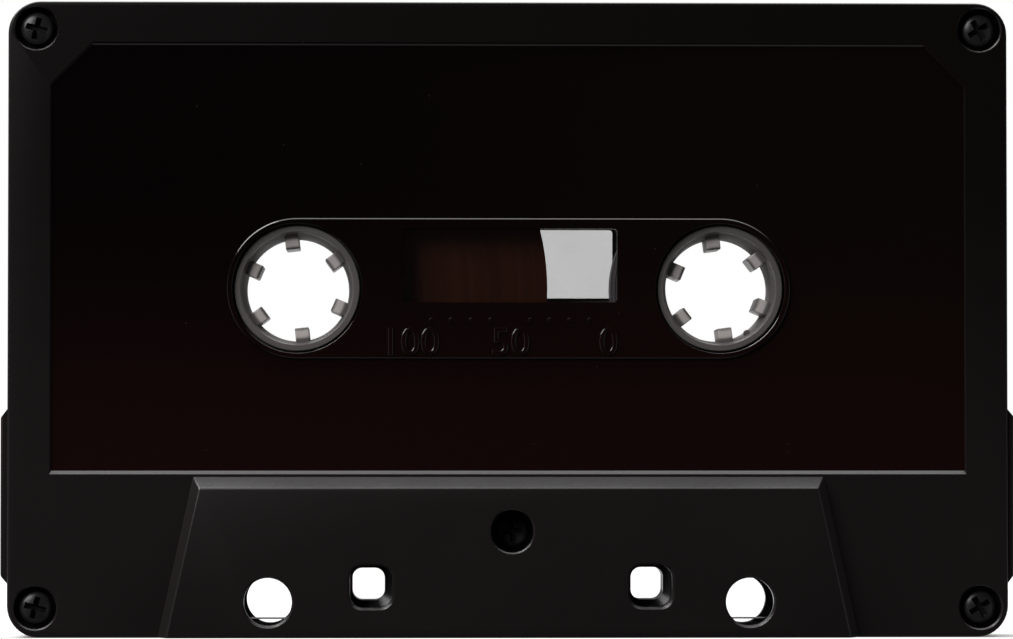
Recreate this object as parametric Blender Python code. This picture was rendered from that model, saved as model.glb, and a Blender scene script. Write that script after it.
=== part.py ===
"""Compact audio cassette, built as the assembly that comes apart on a bench.

The cassette stands on its tape edge. X runs across the cassette, Y through its thickness
with the front (screw) side towards -Y, and Z up. The origin is the middle of the tape edge.
Each moving piece has its own axis: the two reels and the two guide rollers turn about Y,
and the felt pressure pad is pushed up along Z against its leaf spring.
"""

import math

import bmesh
import bpy
from mathutils import Matrix, Vector

MM = 0.001

# Housing
BODY_WIDTH = 100.4 * MM
BODY_HEIGHT = 63.8 * MM
BODY_HALF_DEPTH = 4.35 * MM
HEAD_HALF_DEPTH = 6.0 * MM
CORNER_RADIUS = 3.2 * MM
WALL = 1.3 * MM
PLATE = 1.2 * MM
PARTING_GAP = 0.15 * MM
BOSS_SETBACK = 0.1 * MM
FIT_GAP = 0.3 * MM
OVERLAP = 0.4 * MM
BEYOND = 1.0 * MM

# Lip of the rear half, which sits in a rebate of the front half behind the parting line
LIP_INSET = 0.75 * MM
LIP_REACH = 0.45 * MM
REBATE_REACH = 0.75 * MM

# Side lugs that hold the cassette in its case
LUG_REACH = 1.0 * MM
LUG_BOTTOM = 5.4 * MM
LUG_TOP = 22.9 * MM
LUG_CHAMFER = 0.9 * MM
LUG_HALF_DEPTH = 3.95 * MM

# Thick head section along the tape edge, a trapezium with sloping steps on three sides
HEAD_BOTTOM_HALF_WIDTH = 34.75 * MM
HEAD_TOP_HALF_WIDTH = 31.2 * MM
HEAD_TOP = 16.2 * MM
HEAD_STEP_RUN = 1.2 * MM
HEAD_SIDE_RUN = 0.9 * MM
HEAD_WELL_TOP = 13.6 * MM
HEAD_WINDOW_HALF_DEPTH = 4.3 * MM

# Sunken label area and the raised stadium round the hubs
LABEL_HALF_WIDTH = 45.85 * MM
LABEL_BOTTOM = 16.7 * MM
LABEL_TOP = 59.7 * MM
LABEL_CHAMFER = 4.2 * MM
LABEL_DEPTH = 0.3 * MM
STADIUM_RADIUS = 7.05 * MM

# Reels
HUB_SPACING = 42.5 * MM
HUB_HEIGHT = 35.0 * MM
HUB_HOLE_RADIUS = 6.5 * MM
BORE_RADIUS = 5.3 * MM
MOUTH_RADIUS = 5.72 * MM
MOUTH_DEPTH = 0.7 * MM
COLLAR_RADIUS = 6.15 * MM
COLLAR_HALF_LENGTH = 3.85 * MM
SHOULDER_RADIUS = 7.4 * MM
SHOULDER_HALF_LENGTH = 2.8 * MM
WEB_HALF_THICKNESS = 0.8 * MM
RIM_INNER_RADIUS = 9.0 * MM
HUB_RADIUS = 10.4 * MM
TOOTH_COUNT = 6
TOOTH_WIDTH = 1.4 * MM
TOOTH_TIP_RADIUS = 4.0 * MM
TOOTH_HALF_LENGTH = 3.0 * MM
TOOTH_NOSE = 0.45 * MM
TOOTH_PHASE = math.radians(96.5)
CLIP_HALF_ANGLE = math.radians(13)
CLIP_INNER_RADIUS = 8.5 * MM
CLIP_GAP = 0.25 * MM

# Tape
TAPE_WIDTH = 3.81 * MM
TAPE_THICKNESS = 0.12 * MM
TAPE_LINE = 1.81 * MM
PACK_INNER_RADIUS = 10.62 * MM
FULL_PACK_RADIUS = 25.2 * MM
EMPTY_PACK_RADIUS = 11.0 * MM

# Guide rollers, their steel pins and the fixed guide posts
ROLLER_X = 40.7 * MM
ROLLER_HEIGHT = 5.35 * MM
ROLLER_RADIUS = 3.3 * MM
ROLLER_BORE_RADIUS = 1.15 * MM
ROLLER_HALF_LENGTH = 2.0 * MM
ROLLER_GROOVE = 0.25 * MM
PIN_RADIUS = 0.95 * MM
PIN_HALF_LENGTH = 3.0 * MM
PIN_SOCKET_RADIUS = 2.0 * MM
GUIDE_POST_X = 32.6 * MM
GUIDE_POST_RADIUS = 0.9 * MM

# Holes of the head section
CAPSTAN_HOLE_X = 24.1 * MM
CAPSTAN_HOLE_HEIGHT = 3.6 * MM
CAPSTAN_HOLE_RADIUS = 2.55 * MM
LOCATING_HOLE_X = 14.0 * MM
LOCATING_HOLE_HEIGHT = 5.15 * MM
LOCATING_HOLE_SIZE = 4.5 * MM
LOCATING_HOLE_CORNER = 1.4 * MM
LOCATING_TUBE_WALL = 0.75 * MM
HEAD_WINDOW = (-9.9 * MM, 9.9 * MM)
SENSING_WINDOW = (11.5 * MM, 16.5 * MM)
PINCH_WINDOW = (18.3 * MM, 30.3 * MM)

# Screws
SCREW_X = 47.4 * MM
SCREW_TOP = 61.1 * MM
SCREW_BOTTOM = 3.0 * MM
SCREW_CENTRE_HEIGHT = 10.7 * MM
BOSS_RADIUS = 2.45 * MM
COUNTERBORE_RADIUS = 2.2 * MM
COUNTERBORE_FLOOR = -2.5 * MM
SCREW_HEAD_RADIUS = 1.65 * MM
SCREW_HEAD_BASE = -2.7 * MM
SCREW_HEAD_RIM = -3.25 * MM
SCREW_HEAD_TOP = -3.65 * MM
SCREW_SHANK_RADIUS = 0.85 * MM
SCREW_HOLE_RADIUS = 1.15 * MM
SCREW_TIP = 2.8 * MM
PILOT_END = 3.2 * MM
CROSS_WIDTH = 0.5 * MM
CROSS_LENGTH = 2.0 * MM
CROSS_DEPTH = 0.7 * MM

# Windows
WINDOW_HALF_WIDTH = 10.6 * MM
WINDOW_BOTTOM = 33.8 * MM
WINDOW_TOP = 40.9 * MM
WINDOW_FLANGE = 1.5 * MM
WINDOW_REBATE = 0.4 * MM
WINDOW_SINK = 0.2 * MM
WINDOW_FLANGE_THICKNESS = 0.5 * MM

# Slip sheets
SHEET_HALF_WIDTH = 46.9 * MM
SHEET_BOTTOM = 9.3 * MM
SHEET_TOP = 62.0 * MM
SHEET_CHAMFER = 6.2 * MM
SHEET_FACE = 2.45 * MM
SHEET_THICKNESS = 0.12 * MM
SHEET_HUB_HOLE_RADIUS = 7.9 * MM
SHEET_NOTCH_HALF_WIDTH = 3.3 * MM
SHEET_NOTCH_TOP = 14.0 * MM

# Pressure pad, its leaf spring and the magnetic shield
PAD_HALF_WIDTH = 2.6 * MM
PAD_HALF_DEPTH = 1.9 * MM
PAD_BOTTOM = 2.15 * MM
PAD_TOP = 3.9 * MM
SPRING_THICKNESS = 0.12 * MM
SPRING_HALF_DEPTH = 2.0 * MM
SPRING_CENTRE_HEIGHT = 4.21 * MM
SPRING_END_HEIGHT = 5.35 * MM
SPRING_FLAT_HALF_WIDTH = 2.8 * MM
SPRING_HALF_WIDTH = 10.2 * MM
SPRING_POST_X = 9.9 * MM
SPRING_POST_HALF_WIDTH = 0.6 * MM
SPRING_POST_GAP = 0.35 * MM
SPRING_POST_REACH = 1.5 * MM
SHIELD_HALF_WIDTH = 7.6 * MM
SHIELD_HALF_DEPTH = 4.2 * MM
SHIELD_BOTTOM = 6.3 * MM
SHIELD_THICKNESS = 0.35 * MM
SHIELD_LIP = 1.1 * MM

# Break-off tabs in the top edge, one on each housing half
TAB_X = 41.0 * MM
TAB_HALF_WIDTH = 2.9 * MM
TAB_SLIT = 0.45 * MM
TAB_THICKNESS = 1.0 * MM
TAB_REACH = 2.9 * MM
TAB_NOTCH_DEPTH = 3.4 * MM

ROUND_STEPS = 48
SMALL_ROUND_STEPS = 24
CORNER_STEPS = 6

FRONT = -1
REAR = 1


# Outlines are lists of (x, z) points, counter-clockwise as seen from the front.


def arc(centre, radius, start, end, steps):
    """Points of an arc about centre, both ends included."""
    turn = (end - start) / steps
    return [
        (
            centre[0] + radius * math.cos(start + turn * i),
            centre[1] + radius * math.sin(start + turn * i),
        )
        for i in range(steps + 1)
    ]


def circle(centre, radius, steps=SMALL_ROUND_STEPS):
    return arc(centre, radius, 0, 2 * math.pi, steps)[:-1]


def rectangle(left, right, bottom, top):
    return [(left, bottom), (right, bottom), (right, top), (left, top)]


def rounded_rectangle(left, right, bottom, top, radius, steps=CORNER_STEPS):
    quarter = math.pi / 2
    corners = [
        (right - radius, top - radius),
        (left + radius, top - radius),
        (left + radius, bottom + radius),
        (right - radius, bottom + radius),
    ]
    points = []
    for i, centre in enumerate(corners):
        points += arc(centre, radius, quarter * i, quarter * (i + 1), steps)
    return points


def centred_rounded_square(centre, size, radius):
    half = size / 2
    return rounded_rectangle(
        centre[0] - half, centre[0] + half, centre[1] - half, centre[1] + half, radius
    )


def stadium(half_spacing, height, radius, steps):
    quarter = math.pi / 2
    right = arc((half_spacing, height), radius, -quarter, quarter, steps)
    left = arc((-half_spacing, height), radius, quarter, 3 * quarter, steps)
    return right + left


def label_outline():
    w, c = LABEL_HALF_WIDTH, LABEL_CHAMFER
    return [
        (-w, LABEL_BOTTOM),
        (w, LABEL_BOTTOM),
        (w, LABEL_TOP - c),
        (w - c, LABEL_TOP),
        (c - w, LABEL_TOP),
        (-w, LABEL_TOP - c),
    ]


def sheet_outline():
    """A slip sheet, chamfered at the top corners and notched round the middle screw boss."""
    w, c, n = SHEET_HALF_WIDTH, SHEET_CHAMFER, SHEET_NOTCH_HALF_WIDTH
    return [
        (-w, SHEET_BOTTOM),
        (-n, SHEET_BOTTOM),
        (-n, SHEET_NOTCH_TOP),
        (n, SHEET_NOTCH_TOP),
        (n, SHEET_BOTTOM),
        (w, SHEET_BOTTOM),
        (w, SHEET_TOP - c),
        (w - c, SHEET_TOP),
        (c - w, SHEET_TOP),
        (-w, SHEET_TOP - c),
    ]


def lug_outline(side):
    """A side lug with chamfered ends. It starts inside the side wall, so that the two join."""
    inner = BODY_WIDTH / 2 - WALL / 2
    outer = BODY_WIDTH / 2 + LUG_REACH
    points = [
        (inner, LUG_BOTTOM),
        (outer - LUG_CHAMFER, LUG_BOTTOM),
        (outer, LUG_BOTTOM + LUG_CHAMFER),
        (outer, LUG_TOP - LUG_CHAMFER),
        (outer - LUG_CHAMFER, LUG_TOP),
        (inner, LUG_TOP),
    ]
    return [(side * x, z) for x, z in points]


def tape_loop():
    """Centre line of the free tape: full pack, left roller, tape edge, right roller, empty pack."""
    stand_off = FIT_GAP / 2 + TAPE_THICKNESS
    roller_radius = ROLLER_HEIGHT - TAPE_LINE
    left_roller = Vector((-ROLLER_X, ROLLER_HEIGHT))
    right_roller = Vector((ROLLER_X, ROLLER_HEIGHT))
    full = Vector((-HUB_SPACING / 2, HUB_HEIGHT))
    empty = Vector((HUB_SPACING / 2, HUB_HEIGHT))
    down = tangent_angle(full, FULL_PACK_RADIUS + stand_off, left_roller, roller_radius)
    up = tangent_angle(right_roller, roller_radius, empty, EMPTY_PACK_RADIUS + stand_off)
    bottom = 1.5 * math.pi
    leave = arc(full, FULL_PACK_RADIUS + stand_off, down - math.radians(20), down, 4)
    under_left = arc(left_roller, roller_radius, down, bottom, 8)
    under_right = arc(right_roller, roller_radius, bottom, up + 2 * math.pi, 8)
    wind_on = arc(empty, EMPTY_PACK_RADIUS + stand_off, up, up + math.radians(20), 4)
    return leave + under_left + under_right + wind_on


def tangent_angle(first, first_radius, second, second_radius):
    """Angle at which a line, running from first to second with both circles on its left, touches them."""
    line = second - first
    bearing = math.atan2(line.y, line.x)
    lean = math.asin((first_radius - second_radius) / line.length)
    angle = bearing - math.pi / 2 + lean
    return angle % (2 * math.pi)


def ribbon(points, thickness):
    """Outline of a strip of that thickness along a line of points."""
    outer, inner = [], []
    for i, point in enumerate(points):
        before = Vector(points[max(i - 1, 0)])
        after = Vector(points[min(i + 1, len(points) - 1)])
        along = (after - before).normalized()
        across = Vector((-along.y, along.x)) * thickness / 2
        inner.append(tuple(Vector(point) + across))
        outer.append(tuple(Vector(point) - across))
    return outer + inner[::-1]


# Meshes


def add_prism(bm, outline, start, end):
    """Adds the outline, extruded along Y from start to end, as a closed body."""
    bottom = bm.faces.new([bm.verts.new((x, start, z)) for x, z in outline])
    made = bmesh.ops.extrude_face_region(bm, geom=[bottom])
    moved = [v for v in made["geom"] if isinstance(v, bmesh.types.BMVert)]
    bmesh.ops.translate(bm, verts=moved, vec=(0, end - start, 0))


def prisms(parts):
    """A mesh of separate prisms, each given as (outline, start, end)."""
    bm = bmesh.new()
    for outline, start, end in parts:
        add_prism(bm, outline, start, end)
    bmesh.ops.recalc_face_normals(bm, faces=bm.faces)
    return bm


def turned(profile, steps=ROUND_STEPS):
    """A ring turned about the Y axis from a closed profile of (radius, y) points."""
    bm = bmesh.new()
    loop = [bm.verts.new((radius, y, 0)) for radius, y in profile]
    edges = [bm.edges.new((loop[i - 1], loop[i])) for i in range(len(loop))]
    bmesh.ops.spin(
        bm,
        geom=loop + edges,
        axis=(0, 1, 0),
        cent=(0, 0, 0),
        angle=2 * math.pi,
        steps=steps,
        use_merge=True,
    )
    bmesh.ops.recalc_face_normals(bm, faces=bm.faces)
    return bm


def box_mesh(low, high):
    bm = bmesh.new()
    size = Vector(high) - Vector(low)
    middle = (Vector(high) + Vector(low)) / 2
    place = Matrix.Translation(middle) @ Matrix.Diagonal((*size, 1))
    bmesh.ops.create_cube(bm, size=1, matrix=place)
    return bm


def add_object(name, bm, material=None, location=(0, 0, 0)):
    mesh = bpy.data.meshes.new(name)
    bm.to_mesh(mesh)
    bm.free()
    obj = bpy.data.objects.new(name, mesh)
    obj.location = location
    bpy.context.scene.collection.objects.link(obj)
    if material:
        mesh.materials.append(material)
        mesh.shade_smooth()
        mesh.set_sharp_from_angle(angle=math.radians(30))
    return obj


def add_boolean(obj, name, bm, operation):
    """Joins the mesh to obj, or cuts it away, with a live Boolean and a hidden helper object."""
    helper = add_object(f"{obj.name}_{name}", bm)
    helper.location = obj.location
    helper.hide_render = True
    helper.display_type = "WIRE"
    modifier = obj.modifiers.new(name, "BOOLEAN")
    modifier.object = helper
    modifier.operation = operation


def add_material(name, colour, roughness, metallic=0.0, alpha=1.0):
    material = bpy.data.materials.new(name)
    material.use_nodes = True
    shader = material.node_tree.nodes["Principled BSDF"]
    shader.inputs["Base Color"].default_value = (*colour, 1)
    shader.inputs["Roughness"].default_value = roughness
    shader.inputs["Metallic"].default_value = metallic
    shader.inputs["Alpha"].default_value = alpha
    return material


# Housing halves


def head_half_width(height, depth):
    """Half width of the head section at a height, on the level of its sloping sides at depth."""
    taper = (HEAD_BOTTOM_HALF_WIDTH - HEAD_TOP_HALF_WIDTH) / HEAD_TOP
    lean = HEAD_SIDE_RUN / (HEAD_HALF_DEPTH - BODY_HALF_DEPTH)
    return HEAD_BOTTOM_HALF_WIDTH - taper * height - lean * (depth - BODY_HALF_DEPTH)


def head_outline(depth, bottom=0.0, top=None, inset=0.0):
    """The head section's trapezium at a distance from the parting plane."""
    slope = HEAD_STEP_RUN / (HEAD_HALF_DEPTH - BODY_HALF_DEPTH)
    if top is None:
        top = HEAD_TOP - slope * (depth - BODY_HALF_DEPTH)
    low = head_half_width(bottom, depth) - inset
    high = head_half_width(top, depth) - inset
    return [(-low, bottom), (low, bottom), (high, top), (-high, top)]


def head_section(side):
    """The thick trapezium along the tape edge, with its sloping steps."""
    bm = bmesh.new()
    rings = [
        [bm.verts.new((x, side * depth, z)) for x, z in head_outline(depth)]
        for depth in (BODY_HALF_DEPTH - PLATE / 2, HEAD_HALF_DEPTH)
    ]
    edges = [bm.edges.new((ring[i - 1], ring[i])) for ring in rings for i in range(4)]
    bmesh.ops.bridge_loops(bm, edges=edges)
    for ring in rings:
        bm.faces.new(ring)
    bmesh.ops.recalc_face_normals(bm, faces=bm.faces)
    return bm


def side_lugs(side):
    depth = (side * PARTING_GAP, side * LUG_HALF_DEPTH)
    return prisms([(lug_outline(-1), *depth), (lug_outline(1), *depth)])


def body_outline(inset=0.0):
    """The rounded outline of the housing, moved inwards by inset."""
    x = BODY_WIDTH / 2 - inset
    return rounded_rectangle(-x, x, inset, BODY_HEIGHT - inset, CORNER_RADIUS - inset)


def screw_places():
    """Name and (x, z) of each screw."""
    return {
        "top_left": (-SCREW_X, SCREW_TOP),
        "top_right": (SCREW_X, SCREW_TOP),
        "bottom_left": (-SCREW_X, SCREW_BOTTOM),
        "bottom_right": (SCREW_X, SCREW_BOTTOM),
        "middle": (0, SCREW_CENTRE_HEIGHT),
    }


def inner_features(side):
    """Bosses, roller sockets, guide posts, locating tubes and spring posts on the inner faces.

    The rear half's pieces stop short of the parting plane. The front half's are cut back to
    its rebate.
    """
    body_root = side * (BODY_HALF_DEPTH - PLATE + OVERLAP)
    head_root = side * (HEAD_HALF_DEPTH - PLATE + OVERLAP)
    end = side * (PARTING_GAP + BOSS_SETBACK)
    places = screw_places()
    middle = places.pop("middle")
    parts = [(circle(middle, BOSS_RADIUS), head_root, end)]
    parts += [(circle(place, BOSS_RADIUS), body_root, end) for place in places.values()]
    tube = LOCATING_HOLE_SIZE + 2 * LOCATING_TUBE_WALL
    tube_corner = LOCATING_HOLE_CORNER + LOCATING_TUBE_WALL
    lower = (SPRING_END_HEIGHT - SPRING_POST_GAP - SPRING_POST_REACH, SPRING_END_HEIGHT - SPRING_POST_GAP)
    upper = (SPRING_END_HEIGHT + SPRING_POST_GAP, SPRING_END_HEIGHT + SPRING_POST_GAP + SPRING_POST_REACH)
    socket_end = side * (ROLLER_HALF_LENGTH + FIT_GAP)
    post_height = TAPE_LINE + TAPE_THICKNESS + FIT_GAP / 2 + GUIDE_POST_RADIUS
    for hand in (-1, 1):
        roller = (hand * ROLLER_X, ROLLER_HEIGHT)
        parts.append((circle(roller, PIN_SOCKET_RADIUS), body_root, socket_end))
        post = (hand * GUIDE_POST_X, post_height)
        parts.append((circle(post, GUIDE_POST_RADIUS, 16), head_root, end))
        hole = (hand * LOCATING_HOLE_X, LOCATING_HOLE_HEIGHT)
        parts.append((centred_rounded_square(hole, tube, tube_corner), head_root, end))
        left = hand * SPRING_POST_X - SPRING_POST_HALF_WIDTH
        right = hand * SPRING_POST_X + SPRING_POST_HALF_WIDTH
        for bottom, top in (lower, upper):
            parts.append((rectangle(left, right, bottom, top), head_root, end))
    return prisms(parts)


def face_openings(side):
    """Hub, window, capstan and locating holes, cut through the face."""
    outside = side * (HEAD_HALF_DEPTH + OVERLAP)
    inside = side * (BODY_HALF_DEPTH - PLATE - OVERLAP)
    window = (-WINDOW_HALF_WIDTH, WINDOW_HALF_WIDTH, WINDOW_BOTTOM, WINDOW_TOP)
    parts = [(rectangle(*window), outside, inside)]
    for hand in (-1, 1):
        hub = (hand * HUB_SPACING / 2, HUB_HEIGHT)
        capstan = (hand * CAPSTAN_HOLE_X, CAPSTAN_HOLE_HEIGHT)
        hole = (hand * LOCATING_HOLE_X, LOCATING_HOLE_HEIGHT)
        square = centred_rounded_square(hole, LOCATING_HOLE_SIZE, LOCATING_HOLE_CORNER)
        parts.append((circle(hub, HUB_HOLE_RADIUS, ROUND_STEPS), outside, inside))
        parts.append((circle(capstan, CAPSTAN_HOLE_RADIUS, 32), outside, inside))
        parts.append((square, outside, 0))
    return prisms(parts)


def tape_edge_windows(side):
    """The openings of the tape edge: head, sensing and pinch-roller windows."""
    depth = (-BEYOND * side, side * HEAD_WINDOW_HALF_DEPTH)
    spans = [HEAD_WINDOW]
    for near, far in (SENSING_WINDOW, PINCH_WINDOW):
        spans += [(near, far), (-far, -near)]
    return prisms(
        [(rectangle(a, b, -OVERLAP, WALL + OVERLAP / 4), *depth) for a, b in spans]
    )


def rebates_and_sockets(side):
    """The window rebate and the blind sockets that hold the roller pins."""
    inner_face = BODY_HALF_DEPTH - PLATE
    x, grow = WINDOW_HALF_WIDTH, WINDOW_FLANGE
    rebate = rectangle(-x - grow, x + grow, WINDOW_BOTTOM - grow, WINDOW_TOP + grow)
    parts = [(rebate, side * (inner_face + WINDOW_REBATE), side * (inner_face - OVERLAP))]
    for hand in (-1, 1):
        roller = (hand * ROLLER_X, ROLLER_HEIGHT)
        pin = circle(roller, PIN_RADIUS + CLIP_GAP / 2)
        parts.append((pin, side * (PIN_HALF_LENGTH + CLIP_GAP / 2), side * ROLLER_HALF_LENGTH))
    return prisms(parts)


def screw_holes(side):
    """Counterbored clearance holes in the front half, blind pilot holes in the rear half."""
    bm = bmesh.new()
    for place in screw_places().values():
        hole = circle(place, SCREW_HOLE_RADIUS)
        if side == FRONT:
            bore = circle(place, COUNTERBORE_RADIUS)
            add_prism(bm, bore, -HEAD_HALF_DEPTH - OVERLAP, COUNTERBORE_FLOOR)
        else:
            add_prism(bm, hole, PILOT_END, -OVERLAP)
    bmesh.ops.recalc_face_normals(bm, faces=bm.faces)
    return bm


def screw_clearance():
    return prisms(
        [
            (circle(place, SCREW_HOLE_RADIUS), COUNTERBORE_FLOOR - OVERLAP, OVERLAP)
            for place in screw_places().values()
        ]
    )


def tab_notches(side):
    """Notches in the top edge that leave the break-off tabs free on three sides."""
    half = TAB_HALF_WIDTH + TAB_SLIT
    bottom = BODY_HEIGHT - WALL - OVERLAP
    return prisms(
        [
            (
                rectangle(x - half, x + half, bottom, BODY_HEIGHT + OVERLAP),
                side * TAB_NOTCH_DEPTH,
                -side * BEYOND,
            )
            for x in (-TAB_X, TAB_X)
        ]
    )


def own_tab(side):
    """The tab that this half carries. It reaches across the parting plane."""
    x = TAB_X if side == FRONT else -TAB_X
    low = (x - TAB_HALF_WIDTH, -TAB_REACH, BODY_HEIGHT - TAB_THICKNESS)
    high = (x + TAB_HALF_WIDTH, BODY_HALF_DEPTH - PLATE / 4, BODY_HEIGHT)
    if side == FRONT:
        low, high = (low[0], -high[1], low[2]), (high[0], -low[1], high[2])
    return box_mesh(low, high)


def build_shell(name, side, material):
    """One housing half: a tray with its face towards side."""
    tray = prisms([(body_outline(), side * PARTING_GAP, side * BODY_HALF_DEPTH)])
    shell = add_object(name, tray, material)
    if side == REAR:
        lip = prisms([(body_outline(LIP_INSET), -LIP_REACH, BODY_HALF_DEPTH / 2)])
        add_boolean(shell, "lip", lip, "UNION")
    add_boolean(shell, "lugs", side_lugs(side), "UNION")
    add_boolean(shell, "head_section", head_section(side), "UNION")
    outside = side * (BODY_HALF_DEPTH + OVERLAP)
    label = prisms([(label_outline(), side * (BODY_HALF_DEPTH - LABEL_DEPTH), outside)])
    add_boolean(shell, "label_area", label, "DIFFERENCE")
    raised = stadium(HUB_SPACING / 2, HUB_HEIGHT, STADIUM_RADIUS, ROUND_STEPS // 2)
    inner_face = BODY_HALF_DEPTH - PLATE
    island = prisms([(raised, side * (inner_face + OVERLAP), side * BODY_HALF_DEPTH)])
    add_boolean(shell, "raised_stadium", island, "UNION")
    cavity = prisms([(body_outline(WALL), side * inner_face, -side * BEYOND)])
    add_boolean(shell, "cavity", cavity, "DIFFERENCE")
    head_floor = HEAD_HALF_DEPTH - PLATE
    well = head_outline(head_floor, WALL, HEAD_WELL_TOP, WALL)
    hollow = prisms([(well, side * head_floor, -side * BEYOND)])
    add_boolean(shell, "head_well", hollow, "DIFFERENCE")
    add_boolean(shell, "inner_features", inner_features(side), "UNION")
    if side == FRONT:
        rebate = prisms([(body_outline(LIP_INSET - FIT_GAP), -REBATE_REACH, BEYOND)])
        add_boolean(shell, "lip_rebate", rebate, "DIFFERENCE")
    add_boolean(shell, "face_openings", face_openings(side), "DIFFERENCE")
    add_boolean(shell, "tape_edge_windows", tape_edge_windows(side), "DIFFERENCE")
    add_boolean(shell, "rebates_and_sockets", rebates_and_sockets(side), "DIFFERENCE")
    add_boolean(shell, "screw_holes", screw_holes(side), "DIFFERENCE")
    if side == FRONT:
        add_boolean(shell, "screw_clearance", screw_clearance(), "DIFFERENCE")
    add_boolean(shell, "tab_notches", tab_notches(side), "DIFFERENCE")
    add_boolean(shell, "break_off_tab", own_tab(side), "UNION")
    return shell


def build_window(name, side, material):
    """A clear plate: a flange behind the wall and a raised middle that fills the opening."""
    x, grow = WINDOW_HALF_WIDTH, WINDOW_FLANGE - FIT_GAP
    flange = rectangle(-x - grow, x + grow, WINDOW_BOTTOM - grow, WINDOW_TOP + grow)
    flange_face = BODY_HALF_DEPTH - PLATE + WINDOW_REBATE - FIT_GAP / 2
    flange_back = flange_face - WINDOW_FLANGE_THICKNESS
    plate = add_object(name, prisms([(flange, side * flange_back, side * flange_face)]), material)
    middle = rounded_rectangle(
        -x + FIT_GAP / 2,
        x - FIT_GAP / 2,
        WINDOW_BOTTOM + FIT_GAP / 2,
        WINDOW_TOP - FIT_GAP / 2,
        FIT_GAP,
        3,
    )
    outer_face = side * (BODY_HALF_DEPTH - WINDOW_SINK)
    half_way = side * (flange_back + WINDOW_FLANGE_THICKNESS / 2)
    add_boolean(plate, "raised_middle", prisms([(middle, half_way, outer_face)]), "UNION")
    return plate


def build_slip_sheet(name, side, material):
    """The thin liner between the tape packs and a housing half."""
    near, far = side * SHEET_FACE, side * (SHEET_FACE + SHEET_THICKNESS)
    sheet = add_object(name, prisms([(sheet_outline(), near, far)]), material)
    x, grow = WINDOW_HALF_WIDTH, FIT_GAP
    holes = [rectangle(-x - grow, x + grow, WINDOW_BOTTOM - grow, WINDOW_TOP + grow)]
    for hand in (-1, 1):
        hub = (hand * HUB_SPACING / 2, HUB_HEIGHT)
        holes.append(circle(hub, SHEET_HUB_HOLE_RADIUS, ROUND_STEPS))
    through = (near - side * OVERLAP, far + side * OVERLAP)
    add_boolean(sheet, "holes", prisms([(hole, *through) for hole in holes]), "DIFFERENCE")
    return sheet


def build_screw(name, place, material):
    """A cross-recessed pan-head screw with a pointed end."""
    rim, top = SCREW_HEAD_RIM, SCREW_HEAD_TOP
    dome = SCREW_HEAD_RADIUS * 0.7
    bm = bmesh.new()
    profile = [
        (0, top),
        (dome, top),
        (SCREW_HEAD_RADIUS, rim),
        (SCREW_HEAD_RADIUS, SCREW_HEAD_BASE),
        (SCREW_SHANK_RADIUS, SCREW_HEAD_BASE),
        (SCREW_SHANK_RADIUS, SCREW_TIP - SCREW_SHANK_RADIUS),
        (0, SCREW_TIP),
    ]
    line = [bm.verts.new((radius, y, 0)) for radius, y in profile]
    edges = [bm.edges.new(pair) for pair in zip(line, line[1:])]
    bmesh.ops.spin(
        bm,
        geom=line + edges,
        axis=(0, 1, 0),
        cent=(0, 0, 0),
        angle=2 * math.pi,
        steps=SMALL_ROUND_STEPS,
        use_merge=True,
    )
    bmesh.ops.remove_doubles(bm, verts=bm.verts, dist=MM / 1000)
    bmesh.ops.recalc_face_normals(bm, faces=bm.faces)
    screw = add_object(name, bm, material, (place[0], 0, place[1]))
    w, l = CROSS_WIDTH / 2, CROSS_LENGTH / 2
    cross = [
        (w, w), (w, l), (-w, l), (-w, w), (-l, w), (-l, -w),
        (-w, -w), (-w, -l), (w, -l), (w, -w), (l, -w), (l, w),
    ]
    recess = prisms([(cross, top - OVERLAP, top + CROSS_DEPTH)])
    add_boolean(screw, "cross_recess", recess, "DIFFERENCE")
    return screw


# Reels


def tooth_outline(angle):
    """One drive tooth, rooted in the collar wall."""
    half = TOOTH_WIDTH / 2
    root = (BORE_RADIUS + COLLAR_RADIUS) / 2
    flat = [(TOOTH_TIP_RADIUS, -half), (root, -half), (root, half), (TOOTH_TIP_RADIUS, half)]
    cos, sin = math.cos(angle), math.sin(angle)
    return [(x * cos - z * sin, x * sin + z * cos) for x, z in flat]


def drive_teeth():
    """The hub's inner teeth, each with a nose that leads a spindle in."""
    bm = bmesh.new()
    for i in range(TOOTH_COUNT):
        outline = tooth_outline(TOOTH_PHASE + i * 2 * math.pi / TOOTH_COUNT)
        add_prism(bm, outline, -TOOTH_HALF_LENGTH, TOOTH_HALF_LENGTH)
    bmesh.ops.recalc_face_normals(bm, faces=bm.faces)
    inner = (TOOTH_TIP_RADIUS + BORE_RADIUS) / 2
    noses = [
        edge
        for edge in bm.edges
        if all(
            math.hypot(v.co.x, v.co.z) < inner and abs(v.co.y) > TOOTH_HALF_LENGTH / 2
            for v in edge.verts
        )
        and abs(edge.verts[0].co.y - edge.verts[1].co.y) < MM / 10
    ]
    bmesh.ops.bevel(
        bm, geom=noses, offset=TOOTH_NOSE, affect="EDGES", segments=1, profile=0.5, material=-1
    )
    return bm


def sector(inner, outer, half_angle, steps=4):
    """An arc-shaped block centred on the downward direction."""
    down = 1.5 * math.pi
    return arc((0, 0), outer, down - half_angle, down + half_angle, steps) + arc(
        (0, 0), inner, down + half_angle, down - half_angle, steps
    )


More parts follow.
